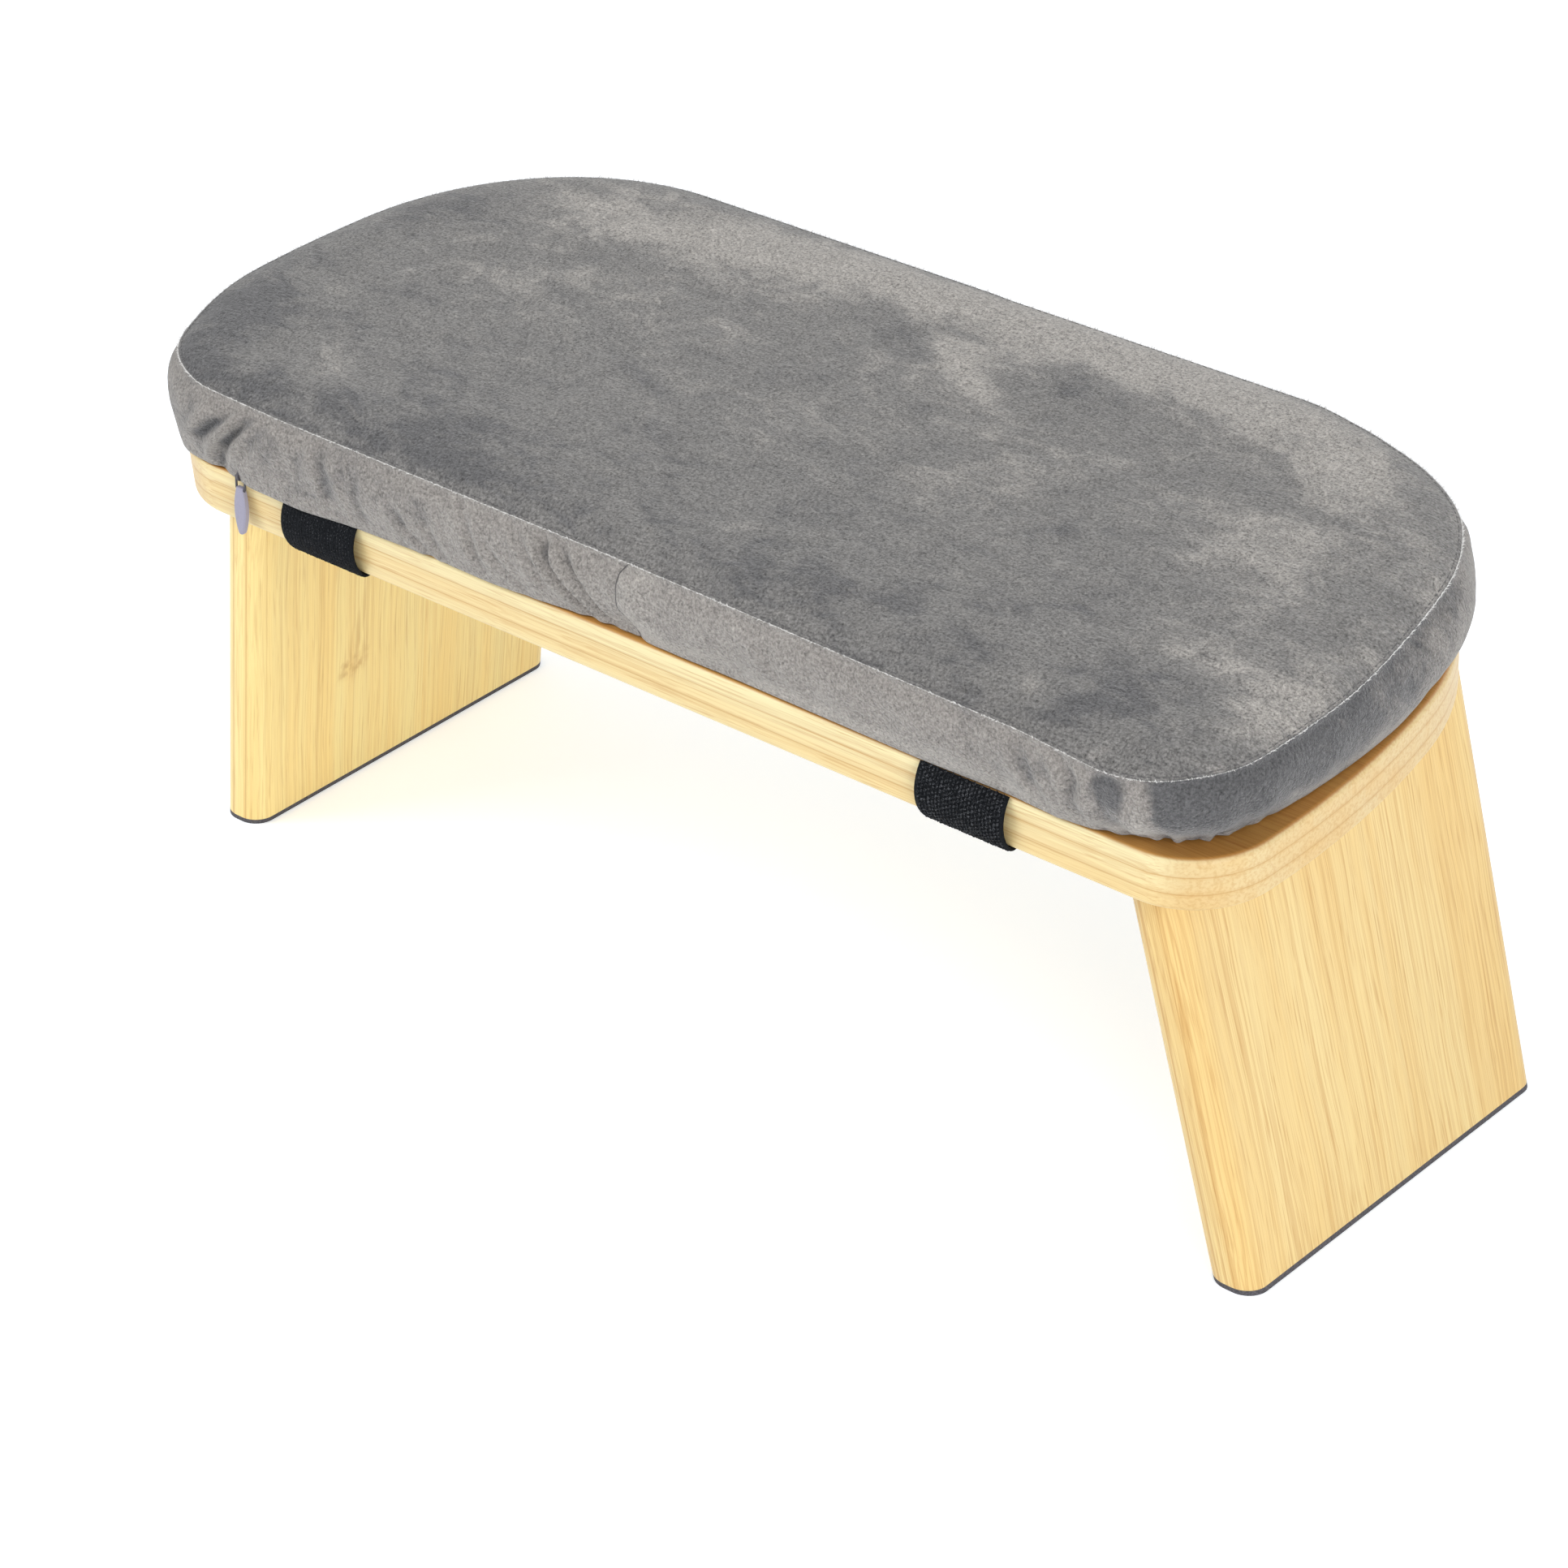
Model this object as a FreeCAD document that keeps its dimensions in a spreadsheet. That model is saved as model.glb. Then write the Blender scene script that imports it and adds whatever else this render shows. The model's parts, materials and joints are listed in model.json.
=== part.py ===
import FreeCAD, Part
import math
import os
import Sketcher

# A kneeling bench whose two splayed legs fold flat under the seat, with a padded cushion held on by elastic.
#
# Seat frame: X along the seat to the right, Y to the back, Z square to the seat, origin in the middle of the
# board's underside. The seat frame is tilted forward in the part's own frame, which stands on the floor:
# Z = 0 is the floor, and X and Y are centred on the bench's bounding box.
#
# Right-hand pieces are drawn and left-hand ones mirrored. At rest the legs stand open against the underside.

Vector = FreeCAD.Vector
Placement = FreeCAD.Placement
Rotation = FreeCAD.Rotation

# Driving dimensions, in millimetres and degrees: name, value, what it sets
DIMENSIONS = [
    ("seat_length", 470.0, "seat board, end to end"),
    ("seat_width", 203.0, "seat board, front to back"),
    ("seat_thickness", 20.0, "seat board thickness"),
    ("front_corner_radius", 32.0, "plan radius of the two front corners"),
    ("back_corner_radius", 100.0, "plan radius of the two back corners"),
    ("end_radius", 313.0, "plan radius of the bowed ends"),
    ("end_setback", 25.0, "how far in front of the middle the bowed ends are centred"),
    ("edge_round", 2.0, "rounding of the board's top and bottom edges"),
    ("seat_tilt", 8.0, "forward tilt of the seat"),
    ("origin_shift", 3.25, "seat middle's distance behind the middle of the bounding box"),
    ("leg_thickness", 19.0, "leg panel thickness"),
    ("leg_width", 170.0, "leg panel, front to back"),
    ("leg_setback", 7.0, "from the seat's front edge to the leg's front edge"),
    ("leg_inset", 28.0, "from the seat's end to the leg's outer face, at the underside"),
    ("leg_splay", 11.3, "how far each leg leans outwards"),
    ("leg_drop", 164.5, "from the underside down to the leg's foot, at the middle of the seat"),
    ("leg_edge_radius", 8.0, "rounding of the leg's upright edges"),
    ("leg_stop_gap", 0.2, "play between an opened leg and the underside"),
    ("foot_pad_thickness", 2.0, "anti-slip pad under each foot"),
    ("hinge_length", 50.0, "butt hinge, along its pin"),
    ("hinge_spacing", 78.0, "between the two hinges of one leg"),
    ("leaf_width", 24.0, "hinge leaf, from the pin to its edge"),
    ("leaf_thickness", 1.5, "hinge leaf thickness"),
    ("leaf_corner_radius", 3.0, "rounding of the leaf's outer corners"),
    ("knuckle_radius", 3.0, "outside radius of the hinge knuckles"),
    ("knuckle_gap", 0.3, "side play between neighbouring knuckles"),
    ("knuckle_relief", 0.5, "room round a knuckle in the wood and in the other leaf"),
    ("pin_radius", 1.45, "hinge pin radius"),
    ("pin_clearance", 0.05, "radial running clearance of the hinge pin"),
    ("pin_offset", 1.5, "from the wood faces to the pin's axis"),
    ("mortise_clearance", 0.2, "room round a leaf in its mortise"),
    ("screw_length", 14.0, "countersunk wood screw, head to tip"),
    ("screw_head_radius", 3.0, "screw head radius"),
    ("screw_shank_radius", 1.5, "screw shank radius"),
    ("screw_tip_length", 3.0, "tapered tip of the screw"),
    ("screw_clearance", 0.1, "room round a screw in its hole"),
    ("screw_near", 10.0, "from the pin to the two outer screws of a leaf"),
    ("screw_far", 17.5, "from the pin to the middle screw of a leaf"),
    ("screw_pitch", 16.5, "from the middle screw to each outer one, along the leaf"),
    ("cushion_height", 30.4, "cushion, from its underside to the top seam"),
    ("cushion_crown", 5.0, "rise of the cushion's top above its seam"),
    ("crown_reach", 22.0, "how far in from the seam the crown levels off"),
    ("cushion_overhang", 1.7, "how far the top seam stands outside the board"),
    ("cushion_belly", 2.0, "how far the sides swell beyond the top seam"),
    ("cushion_foot_inset", 5.0, "how far the sides draw in at the bottom seam"),
    ("cushion_shift", 3.0, "how far the cushion sits to the left"),
    ("neck_height", 4.5, "height of the drawn-in band above the bottom seam"),
    ("belly_low", 14.0, "height where the swell starts"),
    ("belly_high", 24.0, "height where the swell ends"),
    ("cover_thickness", 1.5, "plush cover thickness"),
    ("soft_gap", 0.3, "room between soft pieces and their neighbours"),
    ("strap_width", 35.0, "elastic strap width"),
    ("strap_thickness", 1.5, "elastic strap thickness"),
    ("strap_bow_radius", 15.5, "bow of the strap over the board's edge"),
    ("left_strap_x", 89.0, "middle of the left strap, from the seat's left end"),
    ("right_strap_x", 100.5, "middle of the right strap, from the seat's right end"),
    ("chain_height", 2.4, "zipper chain height"),
    ("chain_thickness", 1.4, "zipper chain thickness"),
    ("chain_lift", 2.4, "zipper chain's middle above the cushion's underside"),
    ("slider_x", 51.0, "zipper slider, from the seat's left end"),
    ("slider_length", 9.0, "zipper slider, along the chain"),
    ("slider_height", 4.4, "zipper slider, across the chain"),
    ("slider_wall", 0.8, "zipper slider wall over the chain"),
    ("slider_corner", 1.4, "rounding of the slider's corners"),
    ("bridge_reach", 3.2, "how far the slider's bridge stands out"),
    ("bridge_half_span", 1.55, "half the bridge's width between its limbs' middles"),
    ("bridge_bend", 1.0, "bend radius of the bridge"),
    ("bridge_wire_radius", 0.5, "bridge wire radius"),
    ("bail_wire_radius", 0.45, "pull bail wire radius"),
    ("bail_width", 4.2, "pull bail width between wire middles"),
    ("bail_height", 5.2, "pull bail height between wire middles"),
    ("bail_bend", 0.7, "bend radius of the bail's corners"),
    ("bail_play", 0.25, "room round the bail's wire in the bridge"),
    ("eye_play", 0.12, "room round the bail's wire in the tab's eye"),
    ("tab_length", 18.6, "pull tab length"),
    ("tab_side_radius", 26.3, "bow of the pull tab's sides"),
    ("tab_neck", 2.8, "pull tab width at its top"),
    ("tab_foot", 2.6, "pull tab width at its foot"),
    ("tab_thickness", 2.4, "pull tab thickness"),
    ("tab_round", 0.7, "rounding of the tab's edges"),
    ("tab_eye_drop", 1.1, "tab's eye below its top"),
]

KNUCKLES = 5
SEAT_KNUCKLES = (0, 2, 4)
LEG_KNUCKLES = (1, 3)
SAME = 1e-6

doc = FreeCAD.newDocument("folding_bench")
sheet = doc.addObject("Spreadsheet::Sheet", "Dims")
for row, (alias, number, meaning) in enumerate(DIMENSIONS, start=1):
    sheet.set(f"A{row}", alias)
    sheet.set(f"B{row}", str(number))
    sheet.set(f"C{row}", meaning)
    sheet.setAlias(f"B{row}", alias)
doc.recompute()

nodes = []


class Measure:
    """A size: its value now, and the expression that keeps it tied to the sheet."""

    def __init__(self, number, text):
        self.number = float(number)
        self.text = text

    def __add__(self, other):
        other = as_measure(other)
        return Measure(self.number + other.number, f"({self.text} + {other.text})")

    def __sub__(self, other):
        other = as_measure(other)
        return Measure(self.number - other.number, f"({self.text} - {other.text})")

    def __mul__(self, other):
        other = as_measure(other)
        return Measure(self.number * other.number, f"({self.text} * {other.text})")

    def __truediv__(self, other):
        other = as_measure(other)
        return Measure(self.number / other.number, f"({self.text} / {other.text})")

    def __neg__(self):
        return Measure(-self.number, f"(0 - {self.text})")


def as_measure(value):
    return value if isinstance(value, Measure) else Measure(value, f"{float(value):.9f}")


def dim(name):
    return Measure(sheet.get(name), f"Dims.{name}")


def sine(name):
    return Measure(math.sin(math.radians(sheet.get(name))), f"sin(Dims.{name} * 1 deg)")


def cosine(name):
    return Measure(math.cos(math.radians(sheet.get(name))), f"cos(Dims.{name} * 1 deg)")


def bind(thing, path, measure):
    thing.setExpression(path, as_measure(measure).text)


def publish(thing, label):
    """Name an object as a finished sub-part of the bench."""
    thing.Label = label
    nodes.append(thing)
    return thing


# Sketch and feature helpers

def new_body(name, place=None):
    body = doc.addObject("PartDesign::Body", name)
    if place is not None:
        body.Placement = place
    return body


def new_sketch(body, name, role, lift=0.0):
    """A sketch on one of the body's own origin planes, lifted along the plane's normal."""
    sketch = body.newObject("Sketcher::SketchObject", name)
    plane = [item for item in body.Origin.OriginFeatures if item.Role == role][0]
    sketch.AttachmentSupport = [(plane, "")]
    sketch.MapMode = "FlatFace"
    bind(sketch, "AttachmentOffset.Base.z", lift)
    return sketch


def constrain(sketch, measure, kind, *where):
    index = sketch.addConstraint(Sketcher.Constraint(kind, *where, measure.number))
    bind(sketch, f"Constraints[{index}]", measure)


def pin_point(sketch, geometry, end, across=None, along=None):
    """Hold a point of a sketch at given distances from the sketch's origin."""
    for kind, measure, axis in (("DistanceX", across, -2), ("DistanceY", along, -1)):
        if measure is None:
            continue
        measure = as_measure(measure)
        if measure.number == 0:
            sketch.addConstraint(Sketcher.Constraint("PointOnObject", geometry, end, axis))
        elif measure.number < 0:
            constrain(sketch, -measure, kind, geometry, end, -1, 1)
        else:
            constrain(sketch, measure, kind, -1, 1, geometry, end)


def flat(across, along):
    return Vector(as_measure(across).number, as_measure(along).number, 0)


def arc(centre, radius, start, end):
    return Part.ArcOfCircle(Part.Circle(centre, Vector(0, 0, 1), radius), start, end)


def add_rectangle(sketch, low_x, high_x, low_y, high_y):
    corners = [flat(low_x, low_y), flat(high_x, low_y), flat(high_x, high_y), flat(low_x, high_y)]
    first = sketch.GeometryCount
    for index in range(4):
        sketch.addGeometry(Part.LineSegment(corners[index], corners[(index + 1) % 4]), False)
    for index in range(4):
        sketch.addConstraint(Sketcher.Constraint("Coincident", first + index, 2, first + (index + 1) % 4, 1))
        kind = "Vertical" if index % 2 else "Horizontal"
        sketch.addConstraint(Sketcher.Constraint(kind, first + index))
    pin_point(sketch, first, 1, low_x, low_y)
    pin_point(sketch, first + 2, 1, high_x, high_y)


def add_rounded_rectangle(sketch, low_x, high_x, low_y, high_y, radius):
    """Four lines and four corner arcs, numbered line, arc, line, arc anticlockwise from the low edge."""
    r = radius.number
    x0, x1, y0, y1 = (item.number for item in (low_x, high_x, low_y, high_y))
    quarter = math.pi / 2
    lines = [
        (Vector(x0 + r, y0, 0), Vector(x1 - r, y0, 0)),
        (Vector(x1, y0 + r, 0), Vector(x1, y1 - r, 0)),
        (Vector(x1 - r, y1, 0), Vector(x0 + r, y1, 0)),
        (Vector(x0, y1 - r, 0), Vector(x0, y0 + r, 0)),
    ]
    corners = ((x1 - r, y0 + r), (x1 - r, y1 - r), (x0 + r, y1 - r), (x0 + r, y0 + r))
    centres = [flat(x, y) for x, y in corners]
    for index in range(4):
        sketch.addGeometry(Part.LineSegment(*lines[index]), False)
        sketch.addGeometry(arc(centres[index], r, (index - 1) * quarter, index * quarter), False)
    for index in range(8):
        sketch.addConstraint(Sketcher.Constraint("Tangent", index, 2, (index + 1) % 8, 1))
    for index in (3, 5, 7):
        sketch.addConstraint(Sketcher.Constraint("Equal", 1, index))
    for index, kind in ((0, "Horizontal"), (2, "Vertical"), (4, "Horizontal"), (6, "Vertical")):
        sketch.addConstraint(Sketcher.Constraint(kind, index))
    constrain(sketch, radius, "Radius", 1)
    pin_point(sketch, 0, 1, along=low_y)
    pin_point(sketch, 2, 1, across=high_x)
    pin_point(sketch, 4, 1, along=high_y)
    pin_point(sketch, 6, 1, across=low_x)


def add_circle(sketch, centre_x, centre_y, radius):
    index = sketch.addGeometry(Part.Circle(flat(centre_x, centre_y), Vector(0, 0, 1), radius.number), False)
    constrain(sketch, radius, "Radius", index)
    pin_point(sketch, index, 3, centre_x, centre_y)


def add_chain_of_lines(sketch, corners):
    """A closed run of straight lines through the given corners, each corner held in place."""
    count = len(corners)
    for index in range(count):
        start, end = corners[index], corners[(index + 1) % count]
        sketch.addGeometry(Part.LineSegment(flat(*start), flat(*end)), False)
    for index in range(count):
        sketch.addConstraint(Sketcher.Constraint("Coincident", index, 2, (index + 1) % count, 1))
    for index, (across, along) in enumerate(corners):
        pin_point(sketch, index, 1, across, along)


def pad(body, sketch, length, midplane=False, flip=False):
    feature = body.newObject("PartDesign::Pad", sketch.Name + "_pad")
    feature.Profile = sketch
    feature.Midplane = midplane
    feature.Reversed = flip
    bind(feature, "Length", length)
    return feature


def pocket(body, sketch, depth, midplane=False, flip=False):
    feature = body.newObject("PartDesign::Pocket", sketch.Name + "_pocket")
    feature.Profile = sketch
    feature.Midplane = midplane
    feature.Reversed = flip
    bind(feature, "Length", depth)
    return feature


def pipe(body, profile, path):
    feature = body.newObject("PartDesign::AdditivePipe", path.Name + "_pipe")
    feature.Profile = profile
    feature.Spine = (path, [f"Edge{number + 1}" for number in range(path.GeometryCount)])
    return feature


def cut(name, base, tool):
    feature = doc.addObject("Part::Cut", name)
    feature.Base = base
    feature.Tool = tool
    return feature


def box(name, place, length, width, height):
    feature = doc.addObject("Part::Box", name)
    bind(feature, "Length", length)
    bind(feature, "Width", width)
    bind(feature, "Height", height)
    feature.Placement = place
    return feature


def group(name, things):
    feature = doc.addObject("Part::Compound", name)
    feature.Links = things
    return feature


def copies(name, source, places):
    """Placed copies of one object, kept together as a group of separate solids."""
    links = []
    for number, place in enumerate(places):
        link = doc.addObject("App::Link", f"{name}_{number + 1}")
        link.LinkedObject = source
        link.Placement = place
        links.append(link)
    return group(name, links)


def mirrored(source, name):
    """The left-hand twin of a right-hand piece, across the middle of the bench."""
    feature = doc.addObject("Part::Mirroring", name)
    feature.Source = source
    feature.Base = Vector(0, 0, 0)
    feature.Normal = Vector(1, 0, 0)
    return feature


# Places that the sizes lead to

def moved(x=0.0, y=0.0, z=0.0, turn=None):
    return Placement(Vector(*(as_measure(item).number for item in (x, y, z))), turn or Rotation())


def about(axis, degrees):
    return Rotation(axis, as_measure(degrees).number)


X_AXIS = Vector(1, 0, 0)
Y_AXIS = Vector(0, 1, 0)
Z_AXIS = Vector(0, 0, 1)

seat_lift = dim("leg_drop") * cosine("seat_tilt") + dim("foot_pad_thickness")
seat_place = moved(0, dim("origin_shift"), seat_lift, about(X_AXIS, dim("seat_tilt")))

# The pin lies in the corner between the underside and the leg's inner face, pin_offset from both
pin_x = (
    dim("seat_length") / 2 - dim("leg_inset") - dim("leg_thickness") / cosine("leg_splay")
    - dim("pin_offset") * (as_measure(1) - sine("leg_splay")) / cosine("leg_splay")
)
leg_y = dim("leg_setback") + dim("leg_width") / 2 - dim("seat_width") / 2
hinge_offsets = {"front": -dim("hinge_spacing") / 2, "back": dim("hinge_spacing") / 2}
leg_place = seat_place * moved(pin_x, leg_y, -dim("pin_offset"), about(Y_AXIS, -dim("leg_splay")))

cushion_place = seat_place * moved(-dim("cushion_shift"), 0, dim("seat_thickness") + dim("soft_gap"))
foot_growth = dim("cushion_overhang") - dim("cushion_foot_inset")
belly_growth = dim("cushion_overhang") + dim("cushion_belly")
crown_end = dim("crown_reach") - dim("cushion_overhang") - dim("seat_width") / 2


def hinge_place(offset):
    return seat_place * moved(pin_x, leg_y + offset, -dim("pin_offset"))


# The D-shaped plan that the board and every cushion section share

def add_outline(sketch, growth):
    """Straight front and back, bowed ends, tight front corners and wide back corners, moved out by growth."""
    half_length = dim("seat_length") / 2 + growth
    half_width = dim("seat_width") / 2 + growth
    front_radius = dim("front_corner_radius") + growth
    back_radius = dim("back_corner_radius") + growth
    end_radius = dim("end_radius") + growth
    setback = dim("end_setback")
    end_x = (half_length - end_radius).number
    front_y = (front_radius - half_width).number
    back_y = (half_width - back_radius).number
    end_y = -setback.number
    rf, rb, re = front_radius.number, back_radius.number, end_radius.number
    front_x = end_x + math.sqrt((re - rf) ** 2 - (front_y - end_y) ** 2)
    back_x = end_x + math.sqrt((re - rb) ** 2 - (back_y - end_y) ** 2)
    front_turn = math.atan2(front_y - end_y, front_x - end_x)
    back_turn = math.atan2(back_y - end_y, back_x - end_x)
    b = half_width.number
    quarter = math.pi / 2
    sketch.addGeometry([
        Part.LineSegment(Vector(-front_x, -b, 0), Vector(front_x, -b, 0)),
        arc(Vector(front_x, front_y, 0), rf, -quarter, front_turn),
        arc(Vector(end_x, end_y, 0), re, front_turn, back_turn),
        arc(Vector(back_x, back_y, 0), rb, back_turn, quarter),
        Part.LineSegment(Vector(back_x, b, 0), Vector(-back_x, b, 0)),
        arc(Vector(-back_x, back_y, 0), rb, quarter, math.pi - back_turn),
        arc(Vector(-end_x, end_y, 0), re, math.pi - back_turn, math.pi - front_turn),
        arc(Vector(-front_x, front_y, 0), rf, math.pi - front_turn, 3 * quarter),
    ], False)
    for index in range(8):
        sketch.addConstraint(Sketcher.Constraint("Tangent", index, 2, (index + 1) % 8, 1))
    for line in (0, 4):
        sketch.addConstraint(Sketcher.Constraint("Symmetric", line, 1, line, 2, -2))
    for right, left in ((1, 7), (2, 6), (3, 5)):
        sketch.addConstraint(Sketcher.Constraint("Equal", right, left))
    constrain(sketch, front_radius, "Radius", 1)
    constrain(sketch, end_radius, "Radius", 2)
    constrain(sketch, back_radius, "Radius", 3)
    pin_point(sketch, 0, 1, along=-half_width)
    pin_point(sketch, 4, 1, along=half_width)
    pin_point(sketch, 2, 3, half_length - end_radius, -setback)


# Screws

def screw_body(name, clearance):
    """A countersunk wood screw along +Z with its head's face at Z = 0, grown by a clearance all round."""
    body = new_body(name)
    sketch = new_sketch(body, name + "_profile", "XZ_Plane")
    head = dim("screw_head_radius") + clearance
    shank = dim("screw_shank_radius") + clearance
    length = dim("screw_length") + clearance
    add_chain_of_lines(sketch, [
        (0, 0),
        (head, 0),
        (shank, dim("screw_head_radius") - dim("screw_shank_radius")),
        (shank, length - dim("screw_tip_length")),
        (0, length),
    ])
    turned = body.newObject("PartDesign::Revolution", name + "_turned")
    turned.Profile = sketch
    turned.ReferenceAxis = (sketch, ["V_Axis"])
    turned.Angle = 360
    return body


def screw_places(leaf_place):
    spots = (
        (-dim("screw_near"), -dim("screw_pitch")),
        (-dim("screw_far"), 0),
        (-dim("screw_near"), dim("screw_pitch")),
    )
    return [leaf_place * moved(x, y, dim("pin_offset")) for x, y in spots]


# Hinges

def leaf_body(name, place, own, other):
    """One leaf: a plate with notches for the other leaf's knuckles, and its own knuckles rolled at the pin.

    The pin runs along Y through the origin, and the plate lies at -X, its show face pin_offset above the pin.
    """
    body = new_body(name, place)
    pitch = dim("hinge_length") / KNUCKLES
    half = dim("hinge_length") / 2
    plate = new_sketch(body, name + "_plate", "XY_Plane", dim("pin_offset"))
    add_leaf_plate(plate, half)
    pad(body, plate, dim("leaf_thickness"))

    notches = new_sketch(body, name + "_notches", "XY_Plane", dim("pin_offset"))
    reach = dim("knuckle_radius") + dim("knuckle_relief")
    for index in other:
        low = pitch * index - half - dim("knuckle_gap") / 2
        high = pitch * (index + 1) - half + dim("knuckle_gap") / 2
        add_rectangle(notches, -reach, reach, low, high)
    pocket(body, notches, dim("leaf_thickness"), flip=True)

    middle = pitch * (own[0] + 0.5) - half
    roll = new_sketch(body, name + "_roll", "XZ_Plane", -middle)
    add_circle(roll, 0, 0, dim("knuckle_radius"))
    knuckle = pad(body, roll, pitch - dim("knuckle_gap"), midplane=True)
    row_of = body.newObject("PartDesign::LinearPattern", name + "_knuckles")
    row_of.Originals = [knuckle]
    row_of.Direction = ([item for item in body.Origin.OriginFeatures if item.Role == "Y_Axis"][0], [""])
    bind(row_of, "Length", pitch * (own[-1] - own[0]))
    row_of.Occurrences = len(own)
    body.Tip = row_of

    bore = new_sketch(body, name + "_bore", "XZ_Plane")
    add_circle(bore, 0, 0, dim("pin_radius") + dim("pin_clearance"))
    pocket(body, bore, dim("hinge_length") * 2, midplane=True)
    return body


def add_leaf_plate(sketch, half):
    """The plate's outline: square at the pin, rounded at its two outer corners."""
    w, b = dim("leaf_width").number, half.number
    r = dim("leaf_corner_radius").number
    quarter = math.pi / 2
    sketch.addGeometry([
        Part.LineSegment(Vector(-w + r, -b, 0), Vector(0, -b, 0)),
        Part.LineSegment(Vector(0, -b, 0), Vector(0, b, 0)),
        Part.LineSegment(Vector(0, b, 0), Vector(-w + r, b, 0)),
        arc(Vector(-w + r, b - r, 0), r, quarter, 2 * quarter),
        Part.LineSegment(Vector(-w, b - r, 0), Vector(-w, -b + r, 0)),
        arc(Vector(-w + r, -b + r, 0), r, 2 * quarter, 3 * quarter),
    ], False)
    for first, second in ((0, 1), (1, 2)):
        sketch.addConstraint(Sketcher.Constraint("Coincident", first, 2, second, 1))
    for first, second in ((2, 3), (3, 4), (4, 5), (5, 0)):
        sketch.addConstraint(Sketcher.Constraint("Tangent", first, 2, second, 1))
    sketch.addConstraint(Sketcher.Constraint("Equal", 3, 5))
    for index, kind in ((0, "Horizontal"), (2, "Horizontal"), (4, "Vertical")):
        sketch.addConstraint(Sketcher.Constraint(kind, index))
    sketch.addConstraint(Sketcher.Constraint("PointOnObject", 1, 1, -2))
    sketch.addConstraint(Sketcher.Constraint("PointOnObject", 1, 2, -2))
    pin_point(sketch, 1, 1, along=-half)
    pin_point(sketch, 1, 2, along=half)
    pin_point(sketch, 4, 1, across=-dim("leaf_width"))
    constrain(sketch, dim("leaf_corner_radius"), "Radius", 3)


def hinge_pin(name, place):
    pin = doc.addObject("Part::Cylinder", name)
    bind(pin, "Radius", dim("pin_radius"))
    bind(pin, "Height", dim("hinge_length"))
    pin.Placement = place * moved(0, -dim("hinge_length") / 2, 0, about(X_AXIS, -90))
    return pin


def make_hinges(screw, screw_hole):
    """Both hinges of the right leg. Returns the holes that their screws need in the seat and in the leg."""
    right, seat_holes, leg_holes = [], [], []
    for where, offset in hinge_offsets.items():
        name = f"{where}_hinge"
        seat_side = hinge_place(offset)
        open_turn = about(Y_AXIS, as_measure(90) - dim("leg_splay")) * about(Z_AXIS, 180)
        leg_side = seat_side * Placement(Vector(), open_turn)
        for part, place, own, other, holes in (
            ("seat", seat_side, SEAT_KNUCKLES, LEG_KNUCKLES, seat_holes),
            ("leg", leg_side, LEG_KNUCKLES, SEAT_KNUCKLES, leg_holes),
        ):
            drilled = copies(f"{name}_{part}_holes", screw_hole, screw_places(place))
            holes.append(drilled)
            leaf = leaf_body(f"{name}_{part}_blank", place, own, other)
            right.append((cut(f"{name}_{part}_cut", leaf, drilled), f"{name}_{part}_leaf"))
            right.append((copies(f"{name}_{part}_set", screw, screw_places(place)), f"{name}_{part}_screws"))
        right.append((hinge_pin(f"{name}_pin_rod", seat_side), f"{name}_pin"))
    for thing, name in right:
        publish(thing, "right_" + name)
        publish(mirrored(thing, "left_" + name), "left_" + name)
    return group("seat_hole_set", seat_holes), group("leg_hole_set", leg_holes)


# Seat board

def outline_edges(shape, height):
    """Names of the edges that run round a flat face at a given height."""
    names = []
    for number, edge in enumerate(shape.Edges, start=1):
        if all(abs(vertex.Z - height) < SAME for vertex in edge.Vertexes):
            names.append(f"Edge{number}")
    return names


def make_seat_board(right_holes):
    body = new_body("seat_board_blank", seat_place)
    plan = new_sketch(body, "seat_plan", "XY_Plane")
    add_outline(plan, as_measure(0))
    slab = pad(body, plan, dim("seat_thickness"))
    doc.recompute()

    rounded = body.newObject("PartDesign::Fillet", "seat_edges")
    edges = outline_edges(slab.Shape, 0) + outline_edges(slab.Shape, dim("seat_thickness").number)
    rounded.Base = (slab, edges)
    bind(rounded, "Radius", dim("edge_round"))

    mortises = new_sketch(body, "seat_mortises", "XY_Plane")
    far = pin_x - dim("leaf_width") - dim("mortise_clearance")
    near = pin_x + dim("knuckle_radius") + dim("knuckle_relief")
    reach = dim("hinge_length") / 2 + dim("mortise_clearance")
    for offset in hinge_offsets.values():
        low, high = leg_y + offset - reach, leg_y + offset + reach
        add_rectangle(mortises, far, near, low, high)
        add_rectangle(mortises, -near, -far, low, high)
    pocket(body, mortises, dim("leaf_thickness"), flip=True)

    for where, offset in hinge_offsets.items():
        relief = new_sketch(body, f"seat_{where}_relief", "XZ_Plane", -(leg_y + offset))
        for side in (pin_x, -pin_x):
            add_circle(relief, side, -dim("pin_offset"), dim("knuckle_radius") + dim("knuckle_relief"))
        pocket(body, relief, reach * 2, midplane=True)

    holes = group("seat_screw_holes", [right_holes, mirrored(right_holes, "left_seat_holes")])
    publish(cut("seat_board_cut", body, holes), "seat_board")


# Legs

def leg_blank(name, up, down):
    """The leg panel before its ends are cut: Z runs up the leg and X out through its thickness."""
    body = new_body(name, leg_place)
    section = new_sketch(body, name + "_section", "XY_Plane", -down)
    inner = dim("pin_offset")
    half = dim("leg_width") / 2
    add_rounded_rectangle(section, inner, inner + dim("leg_thickness"), -half, half, dim("leg_edge_radius"))
    pad(body, section, down + up)
    return body


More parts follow.
